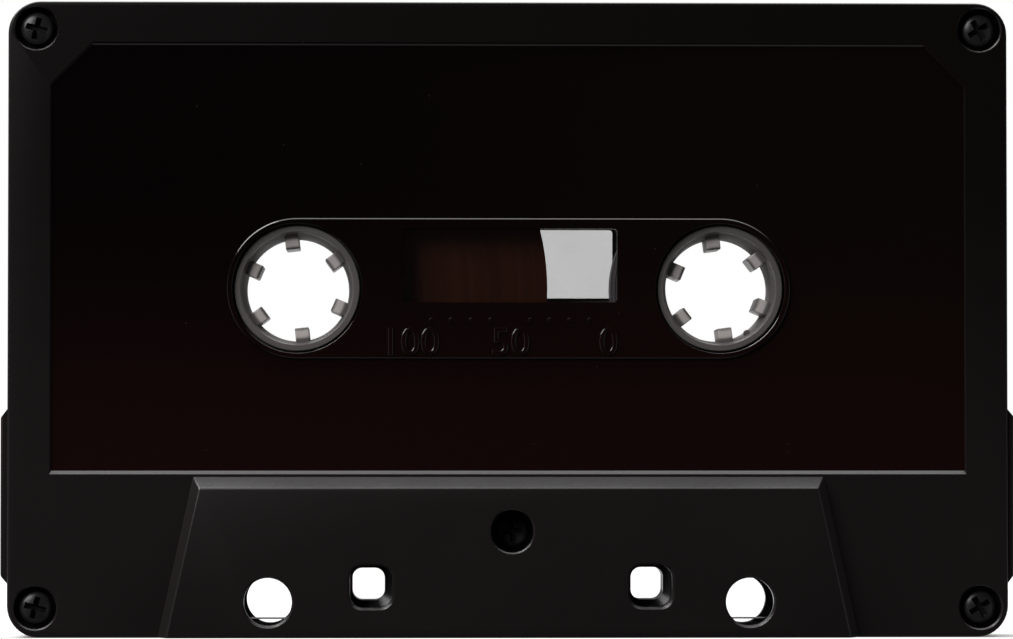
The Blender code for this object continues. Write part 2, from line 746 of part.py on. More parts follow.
def build_hub(name, place, material):
    """The reel hub: toothed collar with flared mouths, thrust shoulder, thin web and tape rim."""
    half = TAPE_WIDTH / 2
    profile = [
        (BORE_RADIUS, MOUTH_DEPTH - COLLAR_HALF_LENGTH),
        (MOUTH_RADIUS, -COLLAR_HALF_LENGTH),
        (COLLAR_RADIUS, -COLLAR_HALF_LENGTH),
        (COLLAR_RADIUS, -SHOULDER_HALF_LENGTH),
        (SHOULDER_RADIUS, -SHOULDER_HALF_LENGTH),
        (SHOULDER_RADIUS, -WEB_HALF_THICKNESS),
        (RIM_INNER_RADIUS, -WEB_HALF_THICKNESS),
        (RIM_INNER_RADIUS, -half),
        (HUB_RADIUS, -half),
    ]
    profile += [(radius, -y) for radius, y in reversed(profile)]
    hub = add_object(name, turned(profile), material, place)
    add_boolean(hub, "drive_teeth", drive_teeth(), "UNION")
    pocket = sector(CLIP_INNER_RADIUS, HUB_RADIUS + OVERLAP, CLIP_HALF_ANGLE)
    reach = half + OVERLAP
    add_boolean(hub, "clip_pocket", prisms([(pocket, -reach, reach)]), "DIFFERENCE")
    return hub


def build_clip(name, place, material):
    """The wedge that presses the tape's end into the rim pocket."""
    gap_angle = CLIP_GAP / HUB_RADIUS
    outline = sector(CLIP_INNER_RADIUS + CLIP_GAP, HUB_RADIUS, CLIP_HALF_ANGLE - gap_angle)
    half = TAPE_WIDTH / 2
    return add_object(name, prisms([(outline, -half, half)]), material, place)


def build_pack(name, place, radius, material):
    half = TAPE_WIDTH / 2
    profile = [
        (PACK_INNER_RADIUS, -half),
        (radius, -half),
        (radius, half),
        (PACK_INNER_RADIUS, half),
    ]
    return add_object(name, turned(profile, 64), material, place)


def build_reels(materials):
    for side_name, hand, radius in (
        ("left", -1, FULL_PACK_RADIUS),
        ("right", 1, EMPTY_PACK_RADIUS),
    ):
        place = (hand * HUB_SPACING / 2, 0, HUB_HEIGHT)
        build_hub(f"{side_name}_hub", place, materials["hub"])
        build_clip(f"{side_name}_hub_clip", place, materials["hub"])
        build_pack(f"{side_name}_tape_pack", place, radius, materials["tape"])


# Tape path


def build_rollers(materials):
    """The two guide rollers and the pins that they turn on."""
    half = ROLLER_HALF_LENGTH
    waist = ROLLER_RADIUS - ROLLER_GROOVE
    profile = [
        (ROLLER_BORE_RADIUS, -half),
        (waist, -half),
        (ROLLER_RADIUS, -half + ROLLER_GROOVE),
        (ROLLER_RADIUS, half - ROLLER_GROOVE),
        (waist, half),
        (ROLLER_BORE_RADIUS, half),
    ]
    for side_name, hand in (("left", -1), ("right", 1)):
        place = (hand * ROLLER_X, 0, ROLLER_HEIGHT)
        build = turned(profile, 32)
        add_object(f"{side_name}_guide_roller", build, materials["roller"], place)
        pin = prisms([(circle((0, 0), PIN_RADIUS), -PIN_HALF_LENGTH, PIN_HALF_LENGTH)])
        add_object(f"{side_name}_roller_pin", pin, materials["steel"], place)


def build_tape_run(material):
    half = TAPE_WIDTH / 2
    outline = ribbon(tape_loop(), TAPE_THICKNESS)
    return add_object("tape_run", prisms([(outline, -half, half)]), material)


def spring_line():
    """The bowed leaf: level where the pad sits, curving up to both held ends."""
    rise = SPRING_END_HEIGHT - SPRING_CENTRE_HEIGHT
    run = SPRING_POST_X - SPRING_FLAT_HALF_WIDTH
    steps = 6
    right = []
    for i in range(steps + 1):
        share = i / steps
        lift = rise * (3 * share**2 - 2 * share**3)
        right.append((SPRING_FLAT_HALF_WIDTH + run * share, SPRING_CENTRE_HEIGHT + lift))
    right.append((SPRING_HALF_WIDTH, SPRING_END_HEIGHT))
    return [(-x, z) for x, z in reversed(right)] + right


def build_pressure_pad(materials):
    """Felt pad, bronze leaf spring and the magnetic shield behind them."""
    pad = box_mesh(
        (-PAD_HALF_WIDTH, -PAD_HALF_DEPTH, PAD_BOTTOM), (PAD_HALF_WIDTH, PAD_HALF_DEPTH, PAD_TOP)
    )
    add_object("pressure_pad", pad, materials["felt"])
    leaf = ribbon(spring_line(), SPRING_THICKNESS)
    spring = prisms([(leaf, -SPRING_HALF_DEPTH, SPRING_HALF_DEPTH)])
    add_object("pressure_spring", spring, materials["bronze"])
    x, t = SHIELD_HALF_WIDTH, SHIELD_THICKNESS
    bottom, top = SHIELD_BOTTOM, SHIELD_BOTTOM + SHIELD_THICKNESS
    channel = [
        (-x, bottom - SHIELD_LIP),
        (t - x, bottom - SHIELD_LIP),
        (t - x, bottom),
        (x - t, bottom),
        (x - t, bottom - SHIELD_LIP),
        (x, bottom - SHIELD_LIP),
        (x, top),
        (-x, top),
    ]
    shield = prisms([(channel, -SHIELD_HALF_DEPTH, SHIELD_HALF_DEPTH)])
    add_object("magnetic_shield", shield, materials["shield"])


def main():
    for obj in list(bpy.data.objects):
        bpy.data.objects.remove(obj)
    materials = {
        "housing": add_material("housing", (0.012, 0.011, 0.012), 0.35),
        "window": add_material("window", (0.75, 0.73, 0.72), 0.08, alpha=0.35),
        "sheet": add_material("slip_sheet", (0.16, 0.16, 0.17), 0.4, alpha=0.8),
        "hub": add_material("hub", (0.17, 0.16, 0.16), 0.4),
        "tape": add_material("tape", (0.035, 0.017, 0.010), 0.3),
        "roller": add_material("roller", (0.55, 0.54, 0.52), 0.4),
        "steel": add_material("steel", (0.6, 0.6, 0.62), 0.25, metallic=1.0),
        "screw": add_material("screw", (0.03, 0.03, 0.033), 0.35, metallic=1.0),
        "felt": add_material("felt", (0.55, 0.5, 0.4), 0.95),
        "bronze": add_material("bronze", (0.7, 0.45, 0.22), 0.3, metallic=1.0),
        "shield": add_material("shield", (0.5, 0.49, 0.46), 0.4, metallic=1.0),
    }
    for side_name, side in (("front", FRONT), ("rear", REAR)):
        build_shell(f"{side_name}_shell", side, materials["housing"])
        build_window(f"{side_name}_window", side, materials["window"])
        build_slip_sheet(f"{side_name}_slip_sheet", side, materials["sheet"])
    for screw_name, place in screw_places().items():
        build_screw(f"screw_{screw_name}", place, materials["screw"])
    build_reels(materials)
    build_rollers(materials)
    build_tape_run(materials["tape"])
    build_pressure_pad(materials)


main()
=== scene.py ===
"""Looks of a compact audio cassette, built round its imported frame.

The cassette stands on its tape edge. X runs across it, Y through its thickness with the
screw side towards -Y, and Z up. Every length is in metres. Outlines are lists of (x, z)
points, and a depth is a distance from the parting plane, so one outline serves both halves.
"""

from __future__ import annotations

import logging
import math
from dataclasses import dataclass, field
from enum import Enum
from typing import Callable, Iterable, Sequence

import bmesh
import bpy
from mathutils import Matrix, Vector

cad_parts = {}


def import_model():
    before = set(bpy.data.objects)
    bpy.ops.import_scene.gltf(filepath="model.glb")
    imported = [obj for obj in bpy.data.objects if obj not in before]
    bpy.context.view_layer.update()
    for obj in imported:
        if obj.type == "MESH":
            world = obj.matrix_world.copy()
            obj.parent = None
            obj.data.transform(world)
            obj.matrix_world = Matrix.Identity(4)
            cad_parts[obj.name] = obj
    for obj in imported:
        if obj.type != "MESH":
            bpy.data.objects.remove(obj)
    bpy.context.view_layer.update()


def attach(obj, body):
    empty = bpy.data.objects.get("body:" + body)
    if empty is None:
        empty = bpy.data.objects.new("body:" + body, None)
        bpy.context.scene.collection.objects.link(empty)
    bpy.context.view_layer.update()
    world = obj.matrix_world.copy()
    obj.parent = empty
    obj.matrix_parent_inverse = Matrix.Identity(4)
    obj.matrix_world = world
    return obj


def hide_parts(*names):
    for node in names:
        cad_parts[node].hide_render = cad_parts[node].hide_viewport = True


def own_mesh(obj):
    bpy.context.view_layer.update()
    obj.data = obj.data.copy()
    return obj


log = logging.getLogger("cassette")

MM = 0.001
Point = tuple[float, float]
Point3 = tuple[float, float, float]
Outline = list[Point]
Colour = tuple[float, float, float]

ROUND_STEPS = 96
SMALL_STEPS = 40
CORNER_STEPS = 10
SHARP_ANGLE = math.radians(20)
QUARTER = math.pi / 2
MERGE = MM / 1000

HUB_X = 21.25 * MM
HUB_Z = 35.0 * MM
TAPE_HALF_WIDTH = 1.905 * MM
TAPE_LINE = 1.81 * MM
BODY_DEPTH = 4.35 * MM
HEAD_DEPTH = 6.0 * MM
BODY_HALF_WIDTH = 50.2 * MM
BODY_TOP = 63.8 * MM
INNER_FACE = 3.15 * MM
HEAD_FLOOR = 4.8 * MM
WALL = 1.3 * MM
PAST = 0.5 * MM
ROLLER_X = 40.7 * MM
ROLLER_Z = 5.35 * MM
SCREW_X = 47.4 * MM
SCREW_PLACES = {
    "top_left": (-SCREW_X, 61.1 * MM),
    "top_right": (SCREW_X, 61.1 * MM),
    "bottom_left": (-SCREW_X, 3.0 * MM),
    "bottom_right": (SCREW_X, 3.0 * MM),
    "middle": (0.3 * MM, 10.65 * MM),
}


class Signed(Enum):
    """Base of the two-way choices, whose value is the sign of an axis."""

    @property
    def word(self) -> str:
        """The choice in lower case."""
        return self.name.lower()


class Side(Signed):
    """The two halves of the housing, with the sign of their depth along Y."""

    FRONT = -1
    REAR = 1


class Hand(Signed):
    """Left and right as seen from the front, with the sign of their X."""

    LEFT = -1
    RIGHT = 1

    @property
    def hub(self) -> Point:
        """The axis of this side's reel as (x, z)."""
        return (self.value * HUB_X, HUB_Z)

    @property
    def roller(self) -> Point:
        """The axis of this side's guide roller as (x, z)."""
        return (self.value * ROLLER_X, ROLLER_Z)


WINDOWS = {
    Side.FRONT: (-10.75 * MM, 10.9 * MM, 33.6 * MM, 41.0 * MM),
    Side.REAR: (-10.75 * MM, 10.8 * MM, 34.25 * MM, 41.25 * MM),
}


class Work(Enum):
    """What a tool does to a workpiece."""

    JOIN = "UNION"
    CUT = "DIFFERENCE"


# Outlines


def arc(centre: Point, radius: float, start: float, end: float, steps: int) -> Outline:
    """Points of an arc, both ends included.

    Args:
        centre: Centre of the arc.
        radius: Its radius.
        start: First angle in radians.
        end: Last angle in radians.
        steps: Number of stretches between the points.

    Returns:
        The points in order.
    """
    turn = (end - start) / steps
    return [
        (
            centre[0] + radius * math.cos(start + turn * i),
            centre[1] + radius * math.sin(start + turn * i),
        )
        for i in range(steps + 1)
    ]


def circle(centre: Point, radius: float, steps: int = SMALL_STEPS) -> Outline:
    """A closed circle about a centre."""
    return arc(centre, radius, 0, 2 * math.pi, steps)[:-1]


def box(left: float, right: float, bottom: float, top: float) -> Outline:
    """A plain rectangle."""
    return [(left, bottom), (right, bottom), (right, top), (left, top)]


def rounded_box(
    left: float, right: float, bottom: float, top: float, radius: float, steps: int = CORNER_STEPS
) -> Outline:
    """A rectangle with round corners.

    Args:
        left: Lowest x.
        right: Highest x.
        bottom: Lowest z.
        top: Highest z.
        radius: Corner radius.
        steps: Stretches in each corner.

    Returns:
        The outline, anticlockwise from the upper right corner.
    """
    corners = [
        (right - radius, top - radius),
        (left + radius, top - radius),
        (left + radius, bottom + radius),
        (right - radius, bottom + radius),
    ]
    points: Outline = []
    for i, corner in enumerate(corners):
        points += arc(corner, radius, QUARTER * i, QUARTER * (i + 1), steps)
    return points


def rounded_square(centre: Point, half: float, radius: float) -> Outline:
    """A square with round corners about a centre."""
    x, z = centre
    return rounded_box(x - half, x + half, z - half, z + half, radius)


def window_outline(side: Side, grow: float, radius: float, steps: int = CORNER_STEPS) -> Outline:
    """A window's outline, moved outwards.

    Args:
        side: The half that the window is in.
        grow: How far each edge moves out.
        radius: Corner radius.
        steps: Stretches in each corner.

    Returns:
        The outline.
    """
    left, right, bottom, top = WINDOWS[side]
    return rounded_box(left - grow, right + grow, bottom - grow, top + grow, radius, steps)


def stadium(radius: float) -> Outline:
    """The long oval round both hubs."""
    right = arc(Hand.RIGHT.hub, radius, -QUARTER, QUARTER, ROUND_STEPS // 2)
    return right + arc(Hand.LEFT.hub, radius, QUARTER, 3 * QUARTER, ROUND_STEPS // 2)


def ribbon(line: Sequence[Point], thickness: float) -> Outline:
    """The outline of a strip along a line of points.

    Args:
        line: Middle line of the strip.
        thickness: Thickness across the line.

    Returns:
        The closed outline.
    """
    one_side: Outline = []
    other_side: Outline = []
    for i, point in enumerate(line):
        before = Vector(line[max(i - 1, 0)])
        after = Vector(line[min(i + 1, len(line) - 1)])
        along = (after - before).normalized()
        across = Vector((-along.y, along.x)) * thickness / 2
        one_side.append(tuple(Vector(point) - across))
        other_side.append(tuple(Vector(point) + across))
    return one_side + other_side[::-1]


def both_ways(half: Sequence[Point]) -> list[Point]:
    """A closed half section (radius, y) from its part with negative y."""
    return list(half) + [(radius, -y) for radius, y in reversed(half)]


# Solids


def placed(name: str, data: bpy.types.ID) -> bpy.types.Object:
    """Makes an object of some data and links it to the scene."""
    made = bpy.data.objects.new(name, data)
    bpy.context.scene.collection.objects.link(made)
    return made


def worked_mesh(made: bpy.types.Object) -> bpy.types.Mesh:
    """A plain mesh of an object, its modifiers applied."""
    graph = bpy.context.evaluated_depsgraph_get()
    return bpy.data.meshes.new_from_object(made.evaluated_get(graph))


def bevel(
    bm: bmesh.types.BMesh,
    edges: list[bmesh.types.BMEdge],
    width: float,
    segments: int,
    clamp: bool = False,
) -> None:
    """Rounds edges of a mesh.

    Args:
        bm: The mesh.
        edges: The edges to round.
        width: Width of the rounding.
        segments: Faces across it.
        clamp: Whether the width is held back where roundings would meet.
    """
    bmesh.ops.bevel(
        bm,
        geom=edges,
        offset=width,
        segments=segments,
        profile=0.5,
        affect="EDGES",
        material=-1,
        clamp_overlap=clamp,
    )


class Solid:
    """A closed mesh in the making."""

    def __init__(self) -> None:
        """Starts with an empty mesh."""
        self.bm = bmesh.new()

    def loft(self, rings: Sequence[tuple[Outline, float]]) -> Solid:
        """Adds a body whose cross-section goes from outline to outline.

        Args:
            rings: Pairs (outline, depth y), all with the same number of points.

        Returns:
            This solid.
        """
        loops = []
        for outline, depth in rings:
            verts = [self.bm.verts.new((x, depth, z)) for x, z in outline]
            loops.append([self.bm.edges.new((verts[i - 1], verts[i])) for i in range(len(verts))])
        for near, far in zip(loops, loops[1:]):
            bmesh.ops.bridge_loops(self.bm, edges=near + far)
        for loop in (loops[0], loops[-1]):
            bmesh.ops.contextual_create(self.bm, geom=loop)
        return self

    def prism(self, outline: Outline, start: float, end: float) -> Solid:
        """Adds a straight body from one depth to another."""
        return self.loft([(outline, start), (outline, end)])

    def turned(
        self, profile: Sequence[Point], place: Point = (0, 0), steps: int = ROUND_STEPS
    ) -> Solid:
        """Adds a body turned about an axis along Y.

        Args:
            profile: Points (radius, y). It is closed unless both its ends are on the axis.
            place: Where the axis is, as (x, z).
            steps: Number of stretches round the turn.

        Returns:
            This solid.
        """
        turning = bmesh.new()
        verts = [turning.verts.new((radius, y, 0)) for radius, y in profile]
        pairs = list(zip(verts, verts[1:]))
        if profile[0][0] or profile[-1][0]:
            pairs.append((verts[-1], verts[0]))
        edges = [turning.edges.new(pair) for pair in pairs]
        spin = {"axis": (0, 1, 0), "cent": (0, 0, 0), "angle": 2 * math.pi}
        bmesh.ops.spin(turning, geom=verts + edges, steps=steps, use_merge=True, **spin)
        bmesh.ops.remove_doubles(turning, verts=turning.verts, dist=MERGE / 10)
        bmesh.ops.translate(turning, verts=turning.verts, vec=(place[0], 0, place[1]))
        self.take(turning)
        return self

    def block(self, low: Sequence[float], high: Sequence[float]) -> Solid:
        """Adds an upright box between two corners."""
        size, middle = Vector(high) - Vector(low), (Vector(high) + Vector(low)) / 2
        place = Matrix.Translation(middle) @ Matrix.Diagonal((*size, 1))
        bmesh.ops.create_cube(self.bm, size=1, matrix=place)
        return self

    def take(self, other: bmesh.types.BMesh) -> None:
        """Adds another mesh to this one and frees it."""
        mesh = bpy.data.meshes.new("passing")
        other.to_mesh(mesh)
        other.free()
        self.bm.from_mesh(mesh)
        bpy.data.meshes.remove(mesh)

    def soften(
        self, width: float, segments: int, wanted: Callable[[bmesh.types.BMEdge], bool]
    ) -> Solid:
        """Rounds the chosen edges.

        Args:
            width: Width of the rounding.
            segments: Faces across it.
            wanted: Says for each edge whether it is rounded.

        Returns:
            This solid.
        """
        bmesh.ops.recalc_face_normals(self.bm, faces=self.bm.faces)
        bevel(self.bm, [edge for edge in self.bm.edges if wanted(edge)], width, segments, True)
        return self

    def soften_sharp(self, width: float, segments: int = 2, angle: float = 50) -> Solid:
        """Rounds every edge that turns by more than an angle in degrees."""
        bmesh.ops.recalc_face_normals(self.bm, faces=self.bm.faces)
        limit = math.radians(angle)
        return self.soften(width, segments, lambda edge: edge.calc_face_angle(0) > limit)

    def object(self, name: str) -> bpy.types.Object:
        """Ends the solid as an object of its own.

        Args:
            name: Name of the object.

        Returns:
            The new object, linked to the scene.
        """
        bmesh.ops.recalc_face_normals(self.bm, faces=self.bm.faces)
        mesh = bpy.data.meshes.new(name)
        self.bm.to_mesh(mesh)
        self.bm.free()
        return placed(name, mesh)


class Workpiece:
    """A solid that is joined to and cut by others, one after another."""

    def __init__(self, name: str, blank: Solid) -> None:
        """Starts from a blank.

        Args:
            name: Name of the finished piece.
            blank: The solid to work on.
        """
        self.piece = blank.object(name)
        self.tools: list[bpy.types.Object] = []

    def apply(self, work: Work, tool: Solid) -> Workpiece:
        """Joins a tool to the piece, or cuts it away.

        Args:
            work: What the tool does.
            tool: The other solid.

        Returns:
            This workpiece.
        """
        other = tool.object(f"{self.piece.name}_tool")
        modifier = self.piece.modifiers.new(f"step_{len(self.tools)}", "BOOLEAN")
        modifier.object = other
        modifier.operation = work.value
        self.tools.append(other)
        return self

    def finished(self) -> bpy.types.Object:
        """Makes all the steps permanent.

        Returns:
            The piece as one plain mesh.
        """
        worked, rough = worked_mesh(self.piece), self.piece.data
        self.piece.modifiers.clear()
        self.piece.data = worked
        bpy.data.meshes.remove(rough)
        for tool in self.tools:
            mesh = tool.data
            bpy.data.objects.remove(tool)
            bpy.data.meshes.remove(mesh)
        clean = bmesh.new()
        clean.from_mesh(worked)
        bmesh.ops.remove_doubles(clean, verts=clean.verts, dist=MERGE)
        bmesh.ops.dissolve_degenerate(clean, edges=clean.edges, dist=MERGE)
        clean.to_mesh(worked)
        clean.free()
        return self.piece


# Finishes


class Value:
    """A number that varies over a surface. Arithmetic on it adds Math nodes."""

    def __init__(self, nodes: Nodes, socket: bpy.types.NodeSocket) -> None:
        """Wraps a socket.

        Args:
            nodes: The nodes that the socket belongs to.
            socket: An output socket that carries a number.
        """
        self.nodes = nodes
        self.socket = socket

    def math(self, operation: str, *others: Value | float) -> Value:
        """Adds a Math node that works on this value and others."""
        inputs = dict(enumerate((self, *others)))
        node = self.nodes.node("ShaderNodeMath", {"operation": operation}, inputs)
        return Value(self.nodes, node.outputs[0])

    def __add__(self, other: Value | float) -> Value:
        """Sum."""
        return self.math("ADD", other)

    __radd__ = __add__

    def __mul__(self, other: Value | float) -> Value:
        """Product."""
        return self.math("MULTIPLY", other)

    __rmul__ = __mul__

    def __sub__(self, other: Value | float) -> Value:
        """Difference."""
        return self.math("SUBTRACT", other)

    def __rsub__(self, other: float) -> Value:
        """Difference from a number."""
        return (self * -1.0) + other

    def __lt__(self, other: Value | float) -> Value:
        """1 where this value is the lower, else 0."""
        return self.math("LESS_THAN", other)

    def __gt__(self, other: Value | float) -> Value:
        """1 where this value is the higher, else 0."""
        return self.math("GREATER_THAN", other)

    def size(self) -> Value:
        """The value without its sign."""
        return self.math("ABSOLUTE")

    def ramp(self, low: float, high: float, peak: float = 1.0) -> Value:
        """Goes smoothly from 0 at low to a peak at high.

        Args:
            low: Value that gives 0.
            high: Value that gives the peak.
            peak: The highest result.

        Returns:
            The ramped value.
        """
        settings = {"interpolation_type": "SMOOTHSTEP"}
        node = self.nodes.node("ShaderNodeMapRange", settings, {0: self, 1: low, 2: high, 3: 0.0, 4: peak})
        return Value(self.nodes, node.outputs[0])


class Nodes:
    """A node tree in the making."""

    def __init__(self, tree: bpy.types.NodeTree) -> None:
        """Starts on a tree."""
        self.tree = tree

    def node(
        self, kind: str, settings: dict[str, object], inputs: dict[int | str, object]
    ) -> bpy.types.Node:
        """Adds a node.

        Args:
            kind: The node's type.
            settings: Its settings, set before its sockets.
            inputs: For each socket a number, a colour, a socket or a Value.

        Returns:
            The node.
        """
        made = self.tree.nodes.new(kind)
        for key, setting in settings.items():
            setattr(made, key, setting)
        for key, given in inputs.items():
            self.feed(made.inputs[key], given)
        return made

    def feed(self, socket: bpy.types.NodeSocket, given: object) -> None:
        """Links or sets one input socket.

        Args:
            socket: The input socket.
            given: A number, a colour, an output socket or a Value.
        """
        if isinstance(given, Value):
            given = given.socket
        if isinstance(given, bpy.types.NodeSocket):
            self.tree.links.new(given, socket)
        elif isinstance(given, tuple) and len(given) == 3 and socket.type == "RGBA":
            socket.default_value = (*given, 1.0)
        else:
            socket.default_value = given


class Shader(Nodes):
    """A material with one Principled shader, and what is needed to vary it."""

    def __init__(self, name: str) -> None:
        """Makes the material.

        Args:
            name: Name of the material.
        """
        self.material = bpy.data.materials.new(name)
        self.material.use_nodes = True
        super().__init__(self.material.node_tree)
        self.surface = self.tree.nodes["Principled BSDF"]
        self.place = self.node("ShaderNodeTexCoord", {}, {}).outputs["Object"]

    def set(self, **inputs: object) -> Shader:
        """Sets the surface's own sockets, named with underscores for spaces."""
        for key, given in inputs.items():
            self.feed(self.surface.inputs[key.replace("_", " ").title()], given)
        return self

    def axes(self, place: bpy.types.NodeSocket | None = None) -> tuple[Value, Value, Value]:
        """The three coordinates of a point on the surface."""
        parts = self.node("ShaderNodeSeparateXYZ", {}, {0: place or self.place})
        x, y, z = (Value(self, socket) for socket in parts.outputs)
        return x, y, z

    def radius(self, centre: float) -> tuple[Value, bpy.types.NodeSocket]:
        """Distance from the axis of a reel.

        Args:
            centre: The axis's x.

        Returns:
            The distance, and coordinates that vary with it alone.
        """
        middle = {"Vector": self.place, "Location": (-centre, 0, -HUB_Z)}
        x, _, z = self.axes(self.node("ShaderNodeMapping", {}, middle).outputs[0])
        distance = (x * x + z * z).math("SQRT")
        return distance, self.node("ShaderNodeCombineXYZ", {}, {0: distance}).outputs[0]

    def noise(
        self,
        size: float,
        detail: float = 2.0,
        place: bpy.types.NodeSocket | None = None,
        stretch: Sequence[float] = (1, 1, 1),
    ) -> Value:
        """Soft random variation.

        Args:
            size: Rough size of its spots in metres.
            detail: Number of finer layers.
            place: Coordinates to read, or the object's own.
            stretch: How many times longer the spots are along each axis.

        Returns:
            A value about 0.5.
        """
        scaled = tuple(1 / (size * s) for s in stretch)
        moved = self.node("ShaderNodeMapping", {}, {"Vector": place or self.place, "Scale": scaled})
        inputs = {"Vector": moved.outputs[0], "Scale": 1.0, "Detail": detail}
        return Value(self, self.node("ShaderNodeTexNoise", {}, inputs).outputs[0])

    def cells(self, size: float) -> Value:
        """Distance to the nearest of a set of scattered points, in cell sizes."""
        made = self.node("ShaderNodeTexVoronoi", {}, {"Vector": self.place, "Scale": 1 / size})
        return Value(self, made.outputs["Distance"])

    def mix(self, share: Value | float, first: object, second: object) -> bpy.types.NodeSocket:
        """A colour between two colours."""
        made = self.node("ShaderNodeMix", {"data_type": "RGBA"}, {0: share, 6: first, 7: second})
        return made.outputs[2]

    def bump(self, height: Value, depth: float, strength: float = 1.0) -> bpy.types.NodeSocket:
        """A normal from a height.

        Args:
            height: Height from 0 to 1.
            depth: What a height of 1 stands for, in metres.
            strength: Share of the effect.

        Returns:
            The socket for Normal.
        """
        inputs = {"Height": height, "Distance": depth, "Strength": strength}
        return self.node("ShaderNodeBump", {}, inputs).outputs[0]


class Finish:
    """Base of all finishes. A finish makes its material once, and then gives it to every piece."""

    slot: str

    def shader(self) -> Shader:
        """Builds the finish's shader."""
        raise NotImplementedError

    def dress(self, piece: bpy.types.Object, material: bpy.types.Material) -> None:
        """Gives a piece the material.

        Args:
            piece: The piece.
            material: The finish's material.
        """
        piece.data.materials.clear()
        piece.data.materials.append(material)
        piece.data.shade_smooth()
        piece.data.set_sharp_from_angle(angle=SHARP_ANGLE)


def toned(colour: Colour, share: float) -> Colour:
    """A colour made darker or lighter."""
    return tuple(share * part for part in colour)


@dataclass(frozen=True)
class HousingPlastic(Finish):
    """Black plastic, polished in the sunken label area and finely eroded on its border, both painted
    lighter towards the bottom as painted light.
    """

    slot: str = "housing"
    polished: Colour = (0.0022, 0.0006, 0.0008)
    polished_right: Colour = (0.0056, 0.0031, 0.0023)
    # painted light: the polished label's lighter colour towards the bottom
    polished_low: Colour = (0.0102, 0.0034, 0.0028)
    eroded: Colour = (0.0030, 0.0014, 0.0012)
    # painted light: the eroded border's lighter colour towards the bottom
    eroded_low: Colour = (0.0132, 0.0103, 0.0105)
    polished_roughness: float = 0.16
    eroded_roughness: float = 0.28
    dull: Colour = (0.002, 0.0018, 0.0018)
    sheen: Colour = (0.0012, 0.0008, 0.0008)
    dust: Colour = (0.35, 0.33, 0.30)
    grain: float = 0.11 * MM
    grain_depth: float = 0.012 * MM
    label_half: float = 45.9 * MM
    label_bottom: float = 16.6 * MM
    label_top: float = 59.75 * MM
    label_corner: float = 101.5 * MM
    label_behind: float = 3.6 * MM

    def label_mask(self, shader: Shader) -> Value:
        """1 on the sunken label area, else 0."""
        x, y, z = shader.axes()
        inside = (x.size() < self.label_half) * (z > self.label_bottom) * (z < self.label_top)
        return inside * (x.size() + z < self.label_corner) * (y.size() > self.label_behind)

    def shader(self) -> Shader:
        """Builds the finish's shader."""
        shader = Shader("housing_plastic")
        label = self.label_mask(shader)
        x, _, z = shader.axes()
        # painted light: label and border are painted lighter towards the bottom, as if lit more there
        low = 1 - z.ramp(14 * MM, 46 * MM)
        border = shader.mix(1 - z.ramp(8 * MM, 55 * MM), self.eroded, self.eroded_low)
        border = shader.mix(shader.noise(9 * MM) * 0.3, border, self.dull)
        smooth = shader.mix(x.ramp(-40 * MM, 50 * MM), self.polished, self.polished_right)
        flow = shader.noise(26 * MM, 3, stretch=(3, 1, 1)).ramp(0.3, 0.75) * 0.4
        smooth = shader.mix(flow, smooth, self.sheen)
        smooth_with_painted_light = shader.mix(low, smooth, self.polished_low)
        specks = (shader.cells(3.1 * MM) < 0.022) * 0.06
        colour = shader.mix(specks, shader.mix(label, border, smooth_with_painted_light), self.dust)
        scuffs = shader.noise(0.5 * MM, 4, stretch=(8, 1, 1)).ramp(0.66, 0.85) * 0.05
        gloss = label * (self.polished_roughness - self.eroded_roughness) + self.eroded_roughness
        grain = shader.noise(self.grain, 3) * (1 - 0.94 * label)
        height = grain + shader.noise(7 * MM, 1) * 0.6
        normal = shader.bump(height, self.grain_depth)
        return shader.set(base_color=colour, roughness=gloss + scuffs, normal=normal)


@dataclass(frozen=True)
class HubPlastic(Finish):
    """Satin mid-grey moulded plastic, with the teeth painted paler as a painted highlight so they look
    lit.
    """

    name: str
    centre: float
    slot: str = "hub"
    colour: Colour = (0.120, 0.110, 0.106)
    worn: Colour = (0.50, 0.455, 0.44)
    shaded: Colour = (0.02, 0.018, 0.017)

    def shader(self) -> Shader:
        """Builds the finish's shader."""
        shader = Shader(self.name)
        radius, _ = shader.radius(self.centre)
        cloud = shader.noise(2.4 * MM, 3)
        plain = shader.mix(cloud, self.colour, toned(self.colour, 0.8))
        # painted highlight: the tooth faces are painted paler so they look lit
        painted_lit_teeth_mask = radius.ramp(4.05 * MM, 4.4 * MM) * (1 - radius.ramp(4.8 * MM, 5.15 * MM))
        colour = shader.mix(painted_lit_teeth_mask, plain, self.worn)
        wall = radius.ramp(5.12 * MM, 5.2 * MM) * (1 - radius.ramp(5.5 * MM, 5.7 * MM))
        colour = shader.mix(wall * 0.25, colour, self.shaded)
        rough = shader.noise(0.3 * MM, 3) * 0.16 + wall * 0.4 + 0.34
        normal = shader.bump(shader.noise(0.12 * MM, 2), 0.008 * MM)
        return shader.set(base_color=colour, roughness=rough, normal=normal)


@dataclass(frozen=True)
class TapeOxide(Finish):
    """Dark brown oxide tape. On a wound pack its edges show as fine rings about the hub."""

    name: str = "tape_oxide"
    centre: float | None = None
    slot: str = "tape"
    colour: Colour = (0.046, 0.0100, 0.0022)
    ring: float = 0.16 * MM

    def shader(self) -> Shader:
        """Builds the finish's shader."""
        shader = Shader(self.name)
        if self.centre is None:
            streaks = shader.noise(0.4 * MM, 3, stretch=(20, 1, 20))
        else:
            _, across = shader.radius(self.centre)
            rings = shader.noise(self.ring, 4, across)
            bands = shader.noise(1.9 * MM, 2, across).ramp(0.35, 0.7)
            streaks = rings * 0.7 + bands * 0.3
        shade = shader.mix(streaks, toned(self.colour, 0.55), toned(self.colour, 1.5))
        normal = shader.bump(streaks, 0.02 * MM, 0.6)
        return shader.set(base_color=shade, roughness=streaks * 0.12 + 0.24, normal=normal)


